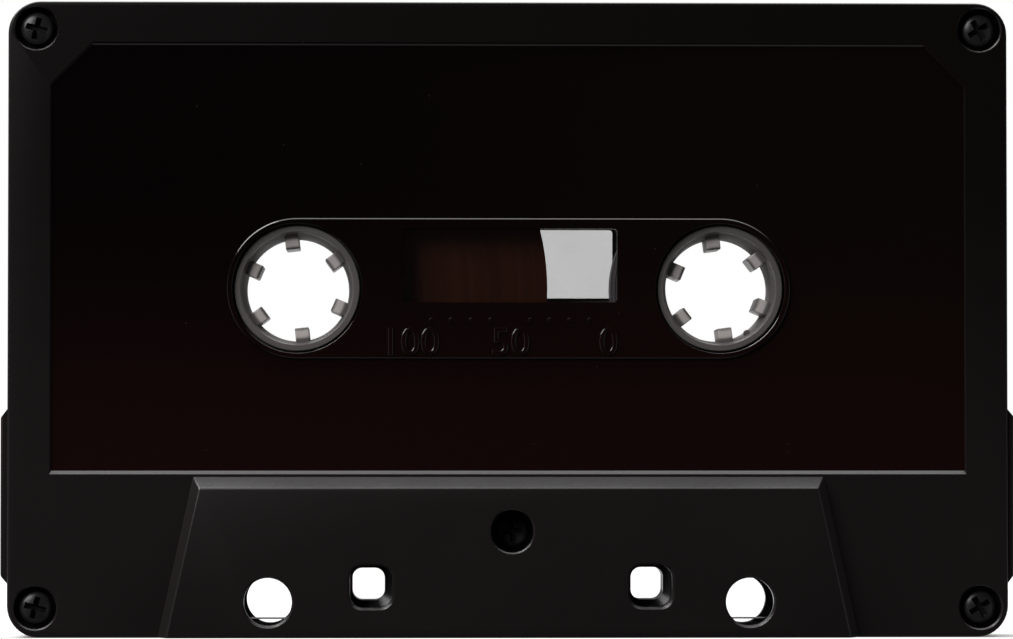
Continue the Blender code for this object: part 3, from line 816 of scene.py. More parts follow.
@dataclass(frozen=True)
class ClearPlastic(Finish):
    """Lightly smoked clear window plastic with faint scuffs."""

    slot: str = "window"
    colour: Colour = (0.012, 0.011, 0.011)
    haze: float = 0.147

    def shader(self) -> Shader:
        """Builds the finish's shader."""
        shader = Shader("window_plastic")
        scuffs = shader.noise(0.35 * MM, 4, stretch=(12, 1, 1)).ramp(0.6, 0.85)
        cloud = shader.noise(4 * MM, 2)
        return shader.set(
            base_color=self.colour,
            roughness=scuffs * 0.14 + 0.05,
            alpha=cloud * 0.03 + scuffs * 0.03 + self.haze,
        )


@dataclass(frozen=True)
class LinerFilm(Finish):
    """Thin smoky liner film with a graphite bloom."""

    slot: str = "slip_sheet"
    bare: Colour = (0.030, 0.030, 0.032)
    coated: Colour = (0.055, 0.054, 0.055)

    def shader(self) -> Shader:
        """Builds the finish's shader."""
        shader = Shader("liner_film")
        bloom = shader.noise(3 * MM, 4, stretch=(1, 1, 4))
        return shader.set(
            base_color=shader.mix(bloom, self.bare, self.coated),
            roughness=bloom * 0.2 + 0.34,
            normal=shader.bump(shader.noise(0.7 * MM, 2), 0.02 * MM),
        )


@dataclass(frozen=True)
class Metal(Finish):
    """Bare or blackened metal with a grain along one axis."""

    name: str
    slot: str
    colour: Colour
    roughness: float
    stretch: tuple[float, float, float] = (1, 1, 1)
    metallic: float = 1.0

    def shader(self) -> Shader:
        """Builds the finish's shader."""
        shader = Shader(self.name)
        grain = shader.noise(0.08 * MM, 3, stretch=self.stretch)
        tone = shader.noise(1.5 * MM, 2)
        return shader.set(
            base_color=shader.mix(tone, self.colour, toned(self.colour, 0.7)),
            roughness=grain * 0.2 + (self.roughness - 0.1),
            metallic=self.metallic,
            normal=shader.bump(grain, 0.004 * MM),
        )


@dataclass(frozen=True)
class Felt(Finish):
    """Pressed felt: soft, pale and fibrous."""

    slot: str = "felt"
    deep: Colour = (0.42, 0.36, 0.27)
    light: Colour = (0.68, 0.62, 0.52)
    fibre: float = 0.09 * MM

    def shader(self) -> Shader:
        """Builds the finish's shader."""
        shader = Shader("felt")
        ways = ((3, 1, 1), (1, 3, 1))
        along, across = (shader.noise(self.fibre, 4, stretch=way) * 0.5 for way in ways)
        fibres = along + across
        return shader.set(
            base_color=shader.mix(fibres, self.deep, self.light),
            roughness=fibres * 0.1 + 0.88,
            normal=shader.bump(fibres, 0.06 * MM),
            sheen_weight=0.3,
        )


@dataclass(frozen=True)
class RollerPlastic(Finish):
    """Pale low-friction plastic with faint turning marks."""

    slot: str = "roller"
    colour: Colour = (0.60, 0.59, 0.56)
    marked: Colour = (0.50, 0.49, 0.46)

    def shader(self) -> Shader:
        """Builds the finish's shader."""
        shader = Shader("roller_plastic")
        marks = shader.noise(0.12 * MM, 2, stretch=(30, 1, 30))
        return shader.set(
            base_color=shader.mix(marks, self.colour, self.marked),
            roughness=marks * 0.15 + 0.3,
            normal=shader.bump(marks, 0.006 * MM),
        )


# Housing


@dataclass
class HousingHalf:
    """One moulded half of the housing, with every visible edge broken."""

    side: Side
    corner: float = 3.2 * MM
    rim_round: float = 0.2 * MM
    parting: float = 0.1 * MM
    lug_steps: tuple[float, ...] = (49.6 * MM, 50.2 * MM, 50.9 * MM)
    lug_heights: tuple[float, ...] = (5.4 * MM, 6.2 * MM, 22.1 * MM, 22.9 * MM)
    lug_depth: float = 3.95 * MM
    head_half: float = 35.15 * MM
    head_slant: float = 0.2191
    head_top: float = 16.08 * MM
    step_side: float = 0.9 / 1.65
    step_top: float = 1.15 / 1.65
    label_depth: float = 0.3 * MM
    label_half: float = 45.85 * MM
    label_corner: float = 4.2 * MM
    label_bottom: float = 16.69 * MM
    label_top: float = 59.33 * MM
    stadium_radius: float = 7.08 * MM
    hub_hole: float = 6.5 * MM
    capstan_place: Point = (24.1 * MM, 3.6 * MM)
    capstan_radius: float = 2.4 * MM
    locating_places: tuple[Point, ...] = ((-13.8 * MM, 5.12 * MM), (14.2 * MM, 5.18 * MM))
    locating_half: float = 2.12 * MM
    throat_half: float = 1.62 * MM
    throat_shift: Point = (-0.25 * MM, 0.2 * MM)
    screw_well: float = 2.14 * MM
    screw_hole: float = 1.15 * MM
    screw_boss: float = 2.45 * MM
    tab_half: float = 2.9 * MM
    tab_x: float = 41 * MM
    edge_windows: tuple[Point, ...] = (
        (-9.9 * MM, 9.9 * MM),
        (11.5 * MM, 16.5 * MM),
        (-16.5 * MM, -11.5 * MM),
        (18.3 * MM, 30.3 * MM),
        (-30.3 * MM, -18.3 * MM),
    )

    def y(self, depth: float) -> float:
        """Y of a depth on this half's side of the parting plane."""
        return self.side.value * depth

    def body_outline(self, inset: float = 0.0) -> Outline:
        """The housing's outline, moved inwards."""
        x = BODY_HALF_WIDTH - inset
        return rounded_box(-x, x, inset, BODY_TOP - inset, self.corner - inset)

    def tray(self) -> Solid:
        """The blank: full outline, round outer rim and a broken parting edge."""
        broken, steps = 0.12 * MM, 4
        rings = [(self.body_outline(broken), self.y(self.parting))]
        rings.append((self.body_outline(), self.y(self.parting + broken)))
        for i in range(steps + 1):
            angle = QUARTER * i / steps
            inset = self.rim_round * (1 - math.cos(angle))
            depth = BODY_DEPTH - self.rim_round * (1 - math.sin(angle))
            rings.append((self.body_outline(inset), self.y(depth)))
        return Solid().loft(rings)

    def lugs(self) -> Solid:
        """The two side lugs that hold the cassette in its case."""
        solid = Solid()
        low, low_end, high_end, high = self.lug_heights
        for hand in Hand:
            root, face, end = (hand.value * x for x in self.lug_steps)
            outline = [
                (root, low), (face, low), (end, low_end), (end, high_end), (face, high), (root, high)
            ]
            solid.prism(outline, self.y(self.parting + 0.05 * MM), self.y(self.lug_depth))
        outer = BODY_HALF_WIDTH + 0.05 * MM
        return solid.soften(0.22 * MM, 3, lambda edge: all(abs(v.co.x) > outer for v in edge.verts))

    def head_ring(
        self, depth: float, bottom: float = 0.0, top: float | None = None, inset: float = 0.0
    ) -> Outline:
        """The trapezium of the thick head section at a depth.

        Args:
            depth: Distance from the parting plane.
            bottom: Lowest z.
            top: Highest z, or None for the section's own top at that depth.
            inset: How far the slanted sides are moved in.

        Returns:
            The outline.
        """
        step = depth - BODY_DEPTH
        if top is None:
            top = self.head_top - step * self.step_top
        half = self.head_half - step * self.step_side - inset
        foot, crown = half - self.head_slant * bottom, half - self.head_slant * top
        return [(-foot, bottom), (foot, bottom), (crown, top), (-crown, top)]

    def head_section(self) -> Solid:
        """The thick section along the tape edge, with its sloping steps and broken edges."""
        root = 3.75 * MM
        solid = Solid().loft([(self.head_ring(depth), self.y(depth)) for depth in (root, HEAD_DEPTH)])
        deep = root + 0.05 * MM
        return solid.soften(0.16 * MM, 3, lambda edge: any(abs(v.co.y) > deep for v in edge.verts))

    def label_ring(self, widen: float, lift: float, lower: float) -> Outline:
        """The label area's outline.

        Args:
            widen: How far its sides are moved out.
            lift: How far its top is moved up.
            lower: How far its bottom is moved down.

        Returns:
            The outline.
        """
        w, c = self.label_half + widen, self.label_corner
        bottom, top = self.label_bottom - lower, self.label_top + lift
        return [(-w, bottom), (w, bottom), (w, top - c), (w - c, top), (c - w, top), (-w, top - c)]

    def label_area(self) -> Solid:
        """The cutter of the sunken label area, with a sloping wall along its bottom."""
        levels = (
            (-self.label_depth, 0.0, 0.0, 0.0),
            (-0.1 * MM, 0.1, 0.1, 0.227),
            (0.0, 0.15, 0.22, 0.34),
            (PAST, 0.16, 0.23, 0.36),
        )
        rings = [
            (self.label_ring(*(move * MM for move in moves)), self.y(BODY_DEPTH + above))
            for above, *moves in levels
        ]
        return Solid().loft(rings)

    def island(self) -> Solid:
        """The raised oval round the hubs."""
        floor = BODY_DEPTH - self.label_depth
        levels = (
            (floor - PAST, 0.0), (floor, 0.0),
            (BODY_DEPTH - 0.08 * MM, 0.05 * MM), (BODY_DEPTH, 0.14 * MM),
        )
        return Solid().loft([(stadium(self.stadium_radius - i), self.y(depth)) for depth, i in levels])

    def inner_features(self) -> Solid:
        """Bosses, pin sockets, guide posts, locating tubes and spring posts."""
        body_root, head_root = self.y(3.6 * MM), self.y(5.2 * MM)
        end = self.y(self.parting + 0.1 * MM)
        solid = Solid()
        for name, place in SCREW_PLACES.items():
            solid.prism(circle(place, self.screw_boss), head_root if name == "middle" else body_root, end)
        sockets = ((2 * MM, body_root), (2 * MM, self.y(2.4 * MM)), (1.9 * MM, self.y(2.3 * MM)))
        for hand in Hand:
            solid.loft([(circle(hand.roller, radius, 48), y) for radius, y in sockets])
            guide_post = (hand.value * 32.6 * MM, 3.0 * MM)
            solid.prism(circle(guide_post, 0.9 * MM), head_root, end)
            left = hand.value * 9.9 * MM - 0.6 * MM
            for bottom in (3.5 * MM, 5.7 * MM):
                solid.prism(box(left, left + 1.2 * MM, bottom, bottom + 1.5 * MM), head_root, end)
        for place in self.locating_places:
            solid.prism(rounded_square(place, 3 * MM, 2.1 * MM), head_root, end)
        return solid

    @staticmethod
    def flare(inside: float, face: float, width: float) -> list[tuple[float, float]]:
        """Levels (depth, growth) of a hole whose mouth is broken by a width."""
        return [(inside, 0.0), (face - width, 0.0), (face, width), (face + PAST, width)]

    def flared_hole(
        self, ring: Callable[[float], Outline], levels: Sequence[tuple[float, float]]
    ) -> Solid:
        """A cutter that widens towards the surface.

        Args:
            ring: Gives the hole's outline for a growth.
            levels: Pairs (depth, growth), from the inside out.

        Returns:
            The cutter.
        """
        return Solid().loft([(ring(grow), self.y(depth)) for depth, grow in levels])

    def hub_and_window_holes(self) -> list[Solid]:
        """Cutters of the hub holes and the window opening."""
        levels = self.flare(INNER_FACE - PAST, BODY_DEPTH, 0.06 * MM)
        rings: list[Callable[[float], Outline]] = [
            lambda g, hub=hand.hub: circle(hub, self.hub_hole + g, ROUND_STEPS) for hand in Hand
        ]
        rings.append(lambda g: window_outline(self.side, g / 2, 0.35 * MM))
        return [self.flared_hole(ring, levels) for ring in rings]

    def head_holes(self) -> list[Solid]:
        """Cutters of the capstan and locating holes."""
        made = []
        broken = 0.22 * MM
        levels = self.flare(HEAD_FLOOR - 0.6 * MM, HEAD_DEPTH, broken)
        for hand in Hand:
            place = (hand.value * self.capstan_place[0], self.capstan_place[1])
            made.append(self.flared_hole(lambda g: circle(place, self.capstan_radius + g, 64), levels))
        for place in self.locating_places:
            throat = (place[0] + self.throat_shift[0], place[1] + self.throat_shift[1])
            small, wide, mouth = self.throat_half, self.locating_half, self.locating_half + broken
            sizes = (
                (throat, small, -0.02), (throat, small, 2.2),
                (place, wide, 2.6), (place, wide, 5.75),
                (place, mouth, 6.0), (place, mouth, 6.5),
            )
            rings = [
                (rounded_square(centre, half, 0.62 * half), self.y(depth * MM))
                for centre, half, depth in sizes
            ]
            made.append(Solid().loft(rings))
        return made

    def screw_holes(self) -> Solid:
        """Cutters of the screw wells, or of the pilot holes on the rear half."""
        solid = Solid()
        hole, well, seat, broken = self.screw_hole, self.screw_well, -2.5 * MM, 0.15 * MM
        for name, place in SCREW_PLACES.items():
            face = HEAD_DEPTH if name == "middle" else BODY_DEPTH
            profile = [
                (0, PAST), (hole, PAST), (hole, seat), (well, seat), (well, broken - face),
                (well + broken, -face), (well + broken, -face - PAST), (0, -face - PAST),
            ]
            if self.side is Side.REAR:
                profile = [(0, -PAST), (hole, -PAST), (hole, 3.2 * MM), (0, 3.4 * MM)]
            solid.turned(profile, place, SMALL_STEPS)
        return solid

    def tape_edge(self) -> Solid:
        """Cutter of the openings in the tape edge."""
        solid = Solid()
        for left, right in self.edge_windows:
            solid.prism(box(left, right, -PAST, WALL + 0.1 * MM), self.y(-MM), self.y(4.3 * MM))
        return solid

    def tabs(self) -> tuple[Solid, Solid]:
        """Cutter of the notches in the top edge, and this half's own break-off tab."""
        notches, tab = Solid(), Solid()
        half = self.tab_half + 0.45 * MM
        for hand in Hand:
            x = hand.value * self.tab_x
            notch = box(x - half, x + half, 62.1 * MM, 64.3 * MM)
            notches.prism(notch, self.y(3.4 * MM), self.y(-MM))
        x = -self.side.value * self.tab_x
        near, far = sorted((self.y(-2.9 * MM), self.y(4.05 * MM)))
        tab.block((x - self.tab_half, near, 62.8 * MM), (x + self.tab_half, far, BODY_TOP - 0.04 * MM))
        return notches, tab

    def build(self) -> bpy.types.Object:
        """Moulds this half.

        Returns:
            The finished piece.
        """
        well = self.head_ring(HEAD_FLOOR, WALL, 13.6 * MM, WALL)
        notches, tab = self.tabs()
        steps = [
            (Work.JOIN, self.lugs()),
            (Work.JOIN, self.head_section()),
            (Work.CUT, self.label_area()),
            (Work.JOIN, self.island()),
            (Work.CUT, Solid().prism(self.body_outline(WALL), self.y(INNER_FACE), self.y(-MM))),
            (Work.CUT, Solid().prism(well, self.y(HEAD_FLOOR), self.y(-MM))),
            (Work.JOIN, self.inner_features()),
            *((Work.CUT, hole) for hole in self.hub_and_window_holes() + self.head_holes()),
            (Work.CUT, self.tape_edge()),
            (Work.CUT, self.rebates()),
            (Work.CUT, self.screw_holes()),
            (Work.CUT, notches),
            (Work.JOIN, tab),
        ]
        if self.side is Side.REAR:
            steps.insert(0, (Work.JOIN, Solid().prism(self.body_outline(0.75 * MM), -0.45 * MM, 2 * MM)))
        else:
            steps.insert(7, (Work.CUT, Solid().prism(self.body_outline(0.4 * MM), -0.75 * MM, 1 * MM)))
        work = Workpiece(f"{self.side.word}_housing", self.tray())
        for way, tool in steps:
            work.apply(way, tool)
        return work.finished()

    def rebates(self) -> Solid:
        """Cutter of the window's rebate and the blind sockets of the roller pins."""
        left, right, bottom, top = WINDOWS[self.side]
        g, deep = 1.5 * MM, 0.4 * MM
        rebate = box(left - g, right + g, bottom - g, top + g)
        solid = Solid().prism(rebate, self.y(INNER_FACE + deep), self.y(INNER_FACE - deep))
        for hand in Hand:
            solid.prism(circle(hand.roller, 1.075 * MM), self.y(3.125 * MM), self.y(2 * MM))
        return solid


@dataclass
class Lens:
    """A clear window plate with a flange behind the wall."""

    side: Side
    flange: float = 1.2 * MM
    face: float = 4.28 * MM

    def build(self) -> bpy.types.Object:
        """Moulds the plate.

        Returns:
            The finished piece.
        """
        sign, gap, broken = self.side.value, 0.08 * MM, 0.04 * MM
        plate = window_outline(self.side, self.flange, 0.5 * MM, 4)
        solid = Solid().prism(plate, sign * 2.9 * MM, sign * 3.4 * MM).soften_sharp(0.06 * MM)
        middle = [
            (window_outline(self.side, -inset, 0.3 * MM, 4), sign * depth)
            for inset, depth in ((gap, 3.1 * MM), (gap, self.face - broken), (gap + broken, self.face))
        ]
        work = Workpiece(f"{self.side.word}_window_plate", solid)
        return work.apply(Work.JOIN, Solid().loft(middle)).finished()


@dataclass
class Liner:
    """The thin film that the tape packs slide on."""

    side: Side
    half_width: float = 46.9 * MM
    hub_hole: float = 7.9 * MM
    face: float = 2.45 * MM
    thickness: float = 0.12 * MM
    top: float = 62 * MM
    bottom: float = 9.3 * MM

    def build(self) -> bpy.types.Object:
        """Cuts the film.

        Returns:
            The finished piece.
        """
        w, low, high = self.half_width, self.bottom, self.top
        notch, notch_top, corner = 3.3 * MM, 14 * MM, 6.2 * MM
        outline = [
            (-w, low), (-notch, low), (-notch, notch_top), (notch, notch_top), (notch, low), (w, low),
            (w, high - corner), (w - corner, high), (corner - w, high), (-w, high - corner),
        ]
        sign = self.side.value
        film = Solid().prism(outline, sign * self.face, sign * (self.face + self.thickness))
        holes = [window_outline(self.side, 0.3 * MM, 0.8 * MM)]
        holes += [circle(hand.hub, self.hub_hole, ROUND_STEPS) for hand in Hand]
        cutter = Solid()
        for hole in holes:
            cutter.prism(hole, sign * MM, sign * 4 * MM)
        return Workpiece(f"{self.side.word}_liner", film).apply(Work.CUT, cutter).finished()


@dataclass
class TapeScale:
    """The raised scale under the window: a row of dots with 100, 50 and 0."""

    side: Side
    dot_height: float = 31.8 * MM
    figure_base: float = 28.3 * MM
    figure_size: float = 3.95 * MM
    proud: float = 0.13 * MM
    rooted: float = PAST / 5
    dot_foot: float = 0.24 * MM
    dot_crown: float = 0.17 * MM
    dots: tuple[float, ...] = (-7.8, -5.8, -3.8, -1.85, 2.15, 4.1, 6.1, 8.1)
    figures: tuple[tuple[str, float], ...] = (("100", -9.9), ("50", 0.15), ("0", 10.0))

    def figure(self, text: str, x: float) -> bpy.types.Mesh:
        """One raised number.

        Args:
            text: The number.
            x: Its middle.

        Returns:
            Its mesh, in place.
        """
        curve = bpy.data.curves.new("figure", "FONT")
        curve.body, curve.size, curve.align_x = text, self.figure_size, "CENTER"
        curve.extrude, curve.offset = self.proud / 2, -0.02 * MM
        curve.bevel_depth, curve.bevel_resolution, curve.resolution_u = 0.1 * MM, 1, 3
        carrier = placed("figure", curve)
        mesh = worked_mesh(carrier)
        bpy.data.objects.remove(carrier)
        bpy.data.curves.remove(curve)
        sign = self.side.value
        turn = Matrix.Rotation(math.pi if self.side is Side.REAR else 0, 4, "Z")
        upright = Matrix.Rotation(QUARTER, 4, "X")
        place = Matrix.Translation((-sign * x * MM, sign * BODY_DEPTH, self.figure_base))
        mesh.transform(place @ turn @ upright)
        return mesh

    def build(self) -> bpy.types.Object:
        """Moulds the dots and figures.

        Returns:
            The finished piece.
        """
        solid, sign = Solid(), self.side.value
        section = (
            (0, -self.rooted), (self.dot_foot, -self.rooted), (self.dot_foot, 0.03 * MM),
            (self.dot_crown, self.proud), (0, self.proud),
        )
        for x in self.dots:
            place = (-sign * x * MM, self.dot_height)
            solid.turned([(radius, sign * (BODY_DEPTH + y)) for radius, y in section], place, 20)
        for text, x in self.figures:
            mesh = self.figure(text, x)
            solid.bm.from_mesh(mesh)
            bpy.data.meshes.remove(mesh)
        bmesh.ops.remove_doubles(solid.bm, verts=solid.bm.verts, dist=MERGE)
        return solid.object(f"{self.side.word}_tape_scale")


# Fasteners


@dataclass
class HousingScrew:
    """A small black screw with a domed head and a cross recess."""

    name: str
    place: Point
    head_radius: float = 1.65 * MM
    head_base: float = 2.7 * MM
    head_rim: float = 3.35 * MM
    head_top: float = 3.95 * MM
    shank: float = 0.85 * MM
    thread: float = 0.5 * MM
    thread_depth: float = 0.12 * MM
    thread_turns: int = 9
    cross_width: float = 0.26 * MM
    cross_reach: float = 1.08 * MM

    def profile(self) -> list[Point]:
        """Half section of the screw, from the head's top to its point."""
        points: list[Point] = []
        steps, broken, flank = 6, 0.08 * MM, 0.14 * MM
        for i in range(steps + 1):
            angle = QUARTER * i / steps
            y = self.head_rim + (self.head_top - self.head_rim) * math.cos(angle)
            points.append((self.head_radius * math.sin(angle), -y))
        points.append((self.head_radius, -self.head_base - broken))
        points.append((self.head_radius - broken, -self.head_base))
        points.append((self.shank, -self.head_base))
        core = self.shank - self.thread_depth
        for i in range(self.thread_turns):
            y = -self.head_base + 0.5 * MM + i * self.thread
            points += [(core, y - flank), (self.shank, y), (core, y + flank)]
        return points + [(0.45 * MM, 2.45 * MM), (0, 2.8 * MM)]

    def cross(self, grow: float) -> Outline:
        """The cross recess, widened."""
        w, r = self.cross_width + grow, self.cross_reach + grow
        return [
            (w, w), (w, r), (-w, r), (-w, w), (-r, w), (-r, -w),
            (-w, -w), (-w, -r), (w, -r), (w, -w), (r, -w), (r, w),
        ]

    def build(self) -> bpy.types.Object:
        """Turns the screw and presses its recess.

        Returns:
            The finished piece.
        """
        blank = Solid().turned(self.profile(), self.place, SMALL_STEPS)
        turn = Matrix.Rotation(math.radians(8 + 23 * (self.place[0] / SCREW_X)), 2)
        rings = []
        for depth, grow in ((3.1, -0.16), (3.5, 0.0), (3.95, 0.05), (4.2, 0.07)):
            outline = [tuple(turn @ Vector(point)) for point in self.cross(grow * MM)]
            rings.append(([(x + self.place[0], z + self.place[1]) for x, z in outline], -depth * MM))
        work = Workpiece(f"{self.name}_housing_screw", blank)
        return work.apply(Work.CUT, Solid().loft(rings)).finished()


# Reels


@dataclass
class Reel:
    """A hub with its clip and the tape wound on it."""

    hand: Hand
    pack_radius: float
    tooth_phase: float
    bore: float = 5.45 * MM
    throat: float = 5.16 * MM
    mouth: float = 5.72 * MM
    collar: float = 6.3 * MM
    collar_half: float = 3.85 * MM
    shoulder: float = 7.4 * MM
    rim_inner: float = 9.0 * MM
    rim: float = 10.4 * MM
    shoulder_half: float = 2.8 * MM
    web_half: float = 0.8 * MM
    pocket_angle: float = math.radians(13)
    tooth_tip: float = 3.95 * MM
    tooth_width: float = 1.4 * MM
    tooth_half: float = 3.0 * MM
    gate_mark: bool = False
    gate_radius: float = 5.25 * MM
    gate_angle: float = math.radians(-57)
    pack_inner: float = 10.46 * MM
    tape_colour: Colour = TapeOxide.colour

    @property
    def name(self) -> str:
        """left or right."""
        return self.hand.word

    @property
    def place(self) -> Point:
        """The reel's axis as (x, z)."""
        return self.hand.hub

    def hub_profile(self) -> list[Point]:
        """Closed half section of the hub, with its edges broken."""
        b, top, step, web = 0.08 * MM, self.collar_half, self.shoulder_half, self.web_half
        profile = both_ways(
            [
                (self.bore, 0.7 * MM - top), (self.mouth - 0.05 * MM, 0.06 * MM - top), (self.mouth, -top),
                (self.collar - b, -top), (self.collar, b - top), (self.collar, -step - 0.05 * MM),
                (self.collar + b, -step), (self.shoulder - b, -step), (self.shoulder, b - step),
                (self.shoulder, -web - 0.1 * MM), (self.shoulder + b, -web),
                (self.rim_inner - b, -web), (self.rim_inner, -web - 0.1 * MM),
                (self.rim_inner, b - TAPE_HALF_WIDTH), (self.rim_inner + b, -TAPE_HALF_WIDTH),
                (self.rim - b, -TAPE_HALF_WIDTH), (self.rim, b - TAPE_HALF_WIDTH),
            ]
        )
        return profile[:-1] + [(self.throat, profile[-1][1])]

    def teeth(self) -> Solid:
        """The six drive teeth, each with a nose that leads a spindle in."""
        solid = Solid()
        root = (self.bore + self.collar) / 2
        out = Matrix.Translation(((root + self.tooth_tip) / 2, 0, 0))
        put = Matrix.Translation((self.place[0], 0, self.place[1]))
        size = (root - self.tooth_tip, 2 * self.tooth_half, self.tooth_width)
        for i in range(6):
            tooth = bmesh.new()
            bmesh.ops.create_cube(tooth, size=1, matrix=Matrix.Diagonal((*size, 1)))
            tips = [edge for edge in tooth.edges if all(vert.co.x < 0 for vert in edge.verts)]
            across = [edge for edge in tips if abs(sum(vert.co.z for vert in edge.verts)) < 10 * MERGE]
            bevel(tooth, across, 0.42 * MM, 3)
            sharp = [edge for edge in tooth.edges if edge.calc_face_angle(0) > math.radians(60)]
            bevel(tooth, sharp, 0.1 * MM, 2)
            turn = Matrix.Rotation(-math.radians(self.tooth_phase + 60 * i), 4, "Y")
            bmesh.ops.transform(tooth, matrix=put @ turn @ out, verts=tooth.verts)
            solid.take(tooth)
        if self.gate_mark:
            middle = arc(self.place, self.gate_radius, self.gate_angle, 0, 1)[0]
            solid.prism(circle(middle, 0.32 * MM, 16), -2.2 * MM, -1.2 * MM)
        return solid

    def sector(self, inner: float, outer: float, half_angle: float) -> Outline:
        """An arc-shaped block under the hub.

        Args:
            inner: Its inner radius.
            outer: Its outer radius.
            half_angle: Half of its angle, in radians.

        Returns:
            The outline.
        """
        down = 1.5 * math.pi
        there = arc(self.place, outer, down - half_angle, down + half_angle, 12)
        return there + arc(self.place, inner, down + half_angle, down - half_angle, 12)

    def hub(self) -> bpy.types.Object:
        """Moulds the hub.

        Returns:
            The finished piece.
        """
        work = Workpiece(f"{self.name}_sprocket_hub", Solid().turned(self.hub_profile(), self.place))
        work.apply(Work.JOIN, self.teeth())
        pocket = self.sector(8.5 * MM, self.rim + PAST, self.pocket_angle)
        return work.apply(Work.CUT, Solid().prism(pocket, -3 * MM, 3 * MM)).finished()

    def clip(self) -> bpy.types.Object:
        """Moulds the wedge that holds the tape's end.

        Returns:
            The finished piece.
        """
        outline = self.sector(8.75 * MM, self.rim, self.pocket_angle - 0.25 * MM / self.rim)
        solid = Solid().prism(outline, -TAPE_HALF_WIDTH, TAPE_HALF_WIDTH).soften_sharp(0.1 * MM)
        return solid.object(f"{self.name}_tape_clip")

    def pack(self) -> bpy.types.Object:
        """Winds the tape: a turned ring whose edge faces have slightly uneven layers.

        Returns:
            The finished piece.
        """
        width = self.pack_radius - self.pack_inner
        layers = max(4, round(width / (0.3 * MM)))
        waves = ((0.014, 2.4, 0.0), (0.012, 0.73, 1.3), (0.010, 5.1, 0.0))
        face: list[Point] = []
        for i in range(layers + 1):
            uneven = sum(height * math.sin(i * pace + start) for height, pace, start in waves)
            radius = self.pack_inner + width * i / layers
            face.append((radius, -(TAPE_HALF_WIDTH - 0.036 * MM + uneven * MM)))
        return Solid().turned(both_ways(face), self.place, 128).object(f"{self.name}_wound_tape")


# Tape path


@dataclass
class GuideRoller:
    """A small waisted roller and the steel pin that it turns on."""

    hand: Hand
    radius: float = 3.3 * MM
    half: float = 2.0 * MM
    bore: float = 1.15 * MM
    pin_radius: float = 0.95 * MM
    pin_half: float = 3.0 * MM

    def roller(self) -> bpy.types.Object:
        """Turns the roller.

        Returns:
            The finished piece.
        """
        r, h, b = self.radius, self.half, 0.14 * MM
        bore, waist = self.bore, 0.12 * MM - h
        half = [
            (bore, b - h), (bore + b, -h), (2.0 * MM, -h), (2.1 * MM, waist), (2.7 * MM, waist),
            (2.8 * MM, -h), (r - 0.25 * MM, -h), (r - 0.06 * MM, 0.1 * MM - h), (r, 0.25 * MM - h),
        ]
        return Solid().turned(both_ways(half), self.hand.roller, 64).object(f"{self.hand.word}_roller")

    def pin(self) -> bpy.types.Object:
        """Turns the pin.

        Returns:
            The finished piece.
        """
        r, end, b = self.pin_radius, self.pin_half, 0.15 * MM
        profile = both_ways([(0, -end), (r - b, -end), (r, b - end)])
        return Solid().turned(profile, self.hand.roller, SMALL_STEPS).object(f"{self.hand.word}_pin")


@dataclass
class FreeTape:
    """The run of tape from the full pack round both rollers to the other pack."""

    thickness: float = 0.05 * MM
    stand_off: float = 0.2 * MM
    full: float = 25.2 * MM
    empty: float = 11.0 * MM

    @staticmethod
    def leaving(first: Vector, first_radius: float, second: Vector, second_radius: float) -> float:
        """Angle at which a tangent with both circles on its left touches them."""
        line = second - first
        lean = math.asin((first_radius - second_radius) / line.length)
        return (math.atan2(line.y, line.x) - QUARTER + lean) % (2 * math.pi)

    def line(self) -> Outline:
        """Middle line of the run."""
        left, right = (Vector(hand.roller) for hand in Hand)
        full, empty = (Vector(hand.hub) for hand in Hand)
        big, small = self.full + self.stand_off, self.empty + self.stand_off
        turn = left.y - TAPE_LINE
        down = self.leaving(full, big, left, turn)
        up = self.leaving(right, turn, empty, small) + 2 * math.pi
        bottom, lead = 1.5 * math.pi, math.radians(18)
        return (
            arc(full, big, down - lead, down, 16)
            + arc(left, turn, down, bottom, 20)
            + arc(right, turn, bottom, up, 20)
            + arc(empty, small, up, up + lead, 10)
        )

    def build(self) -> bpy.types.Object:
        """Runs the tape.

        Returns:
            The finished piece.
        """
        outline = ribbon(self.line(), self.thickness)
        return Solid().prism(outline, -TAPE_HALF_WIDTH, TAPE_HALF_WIDTH).object("free_tape")


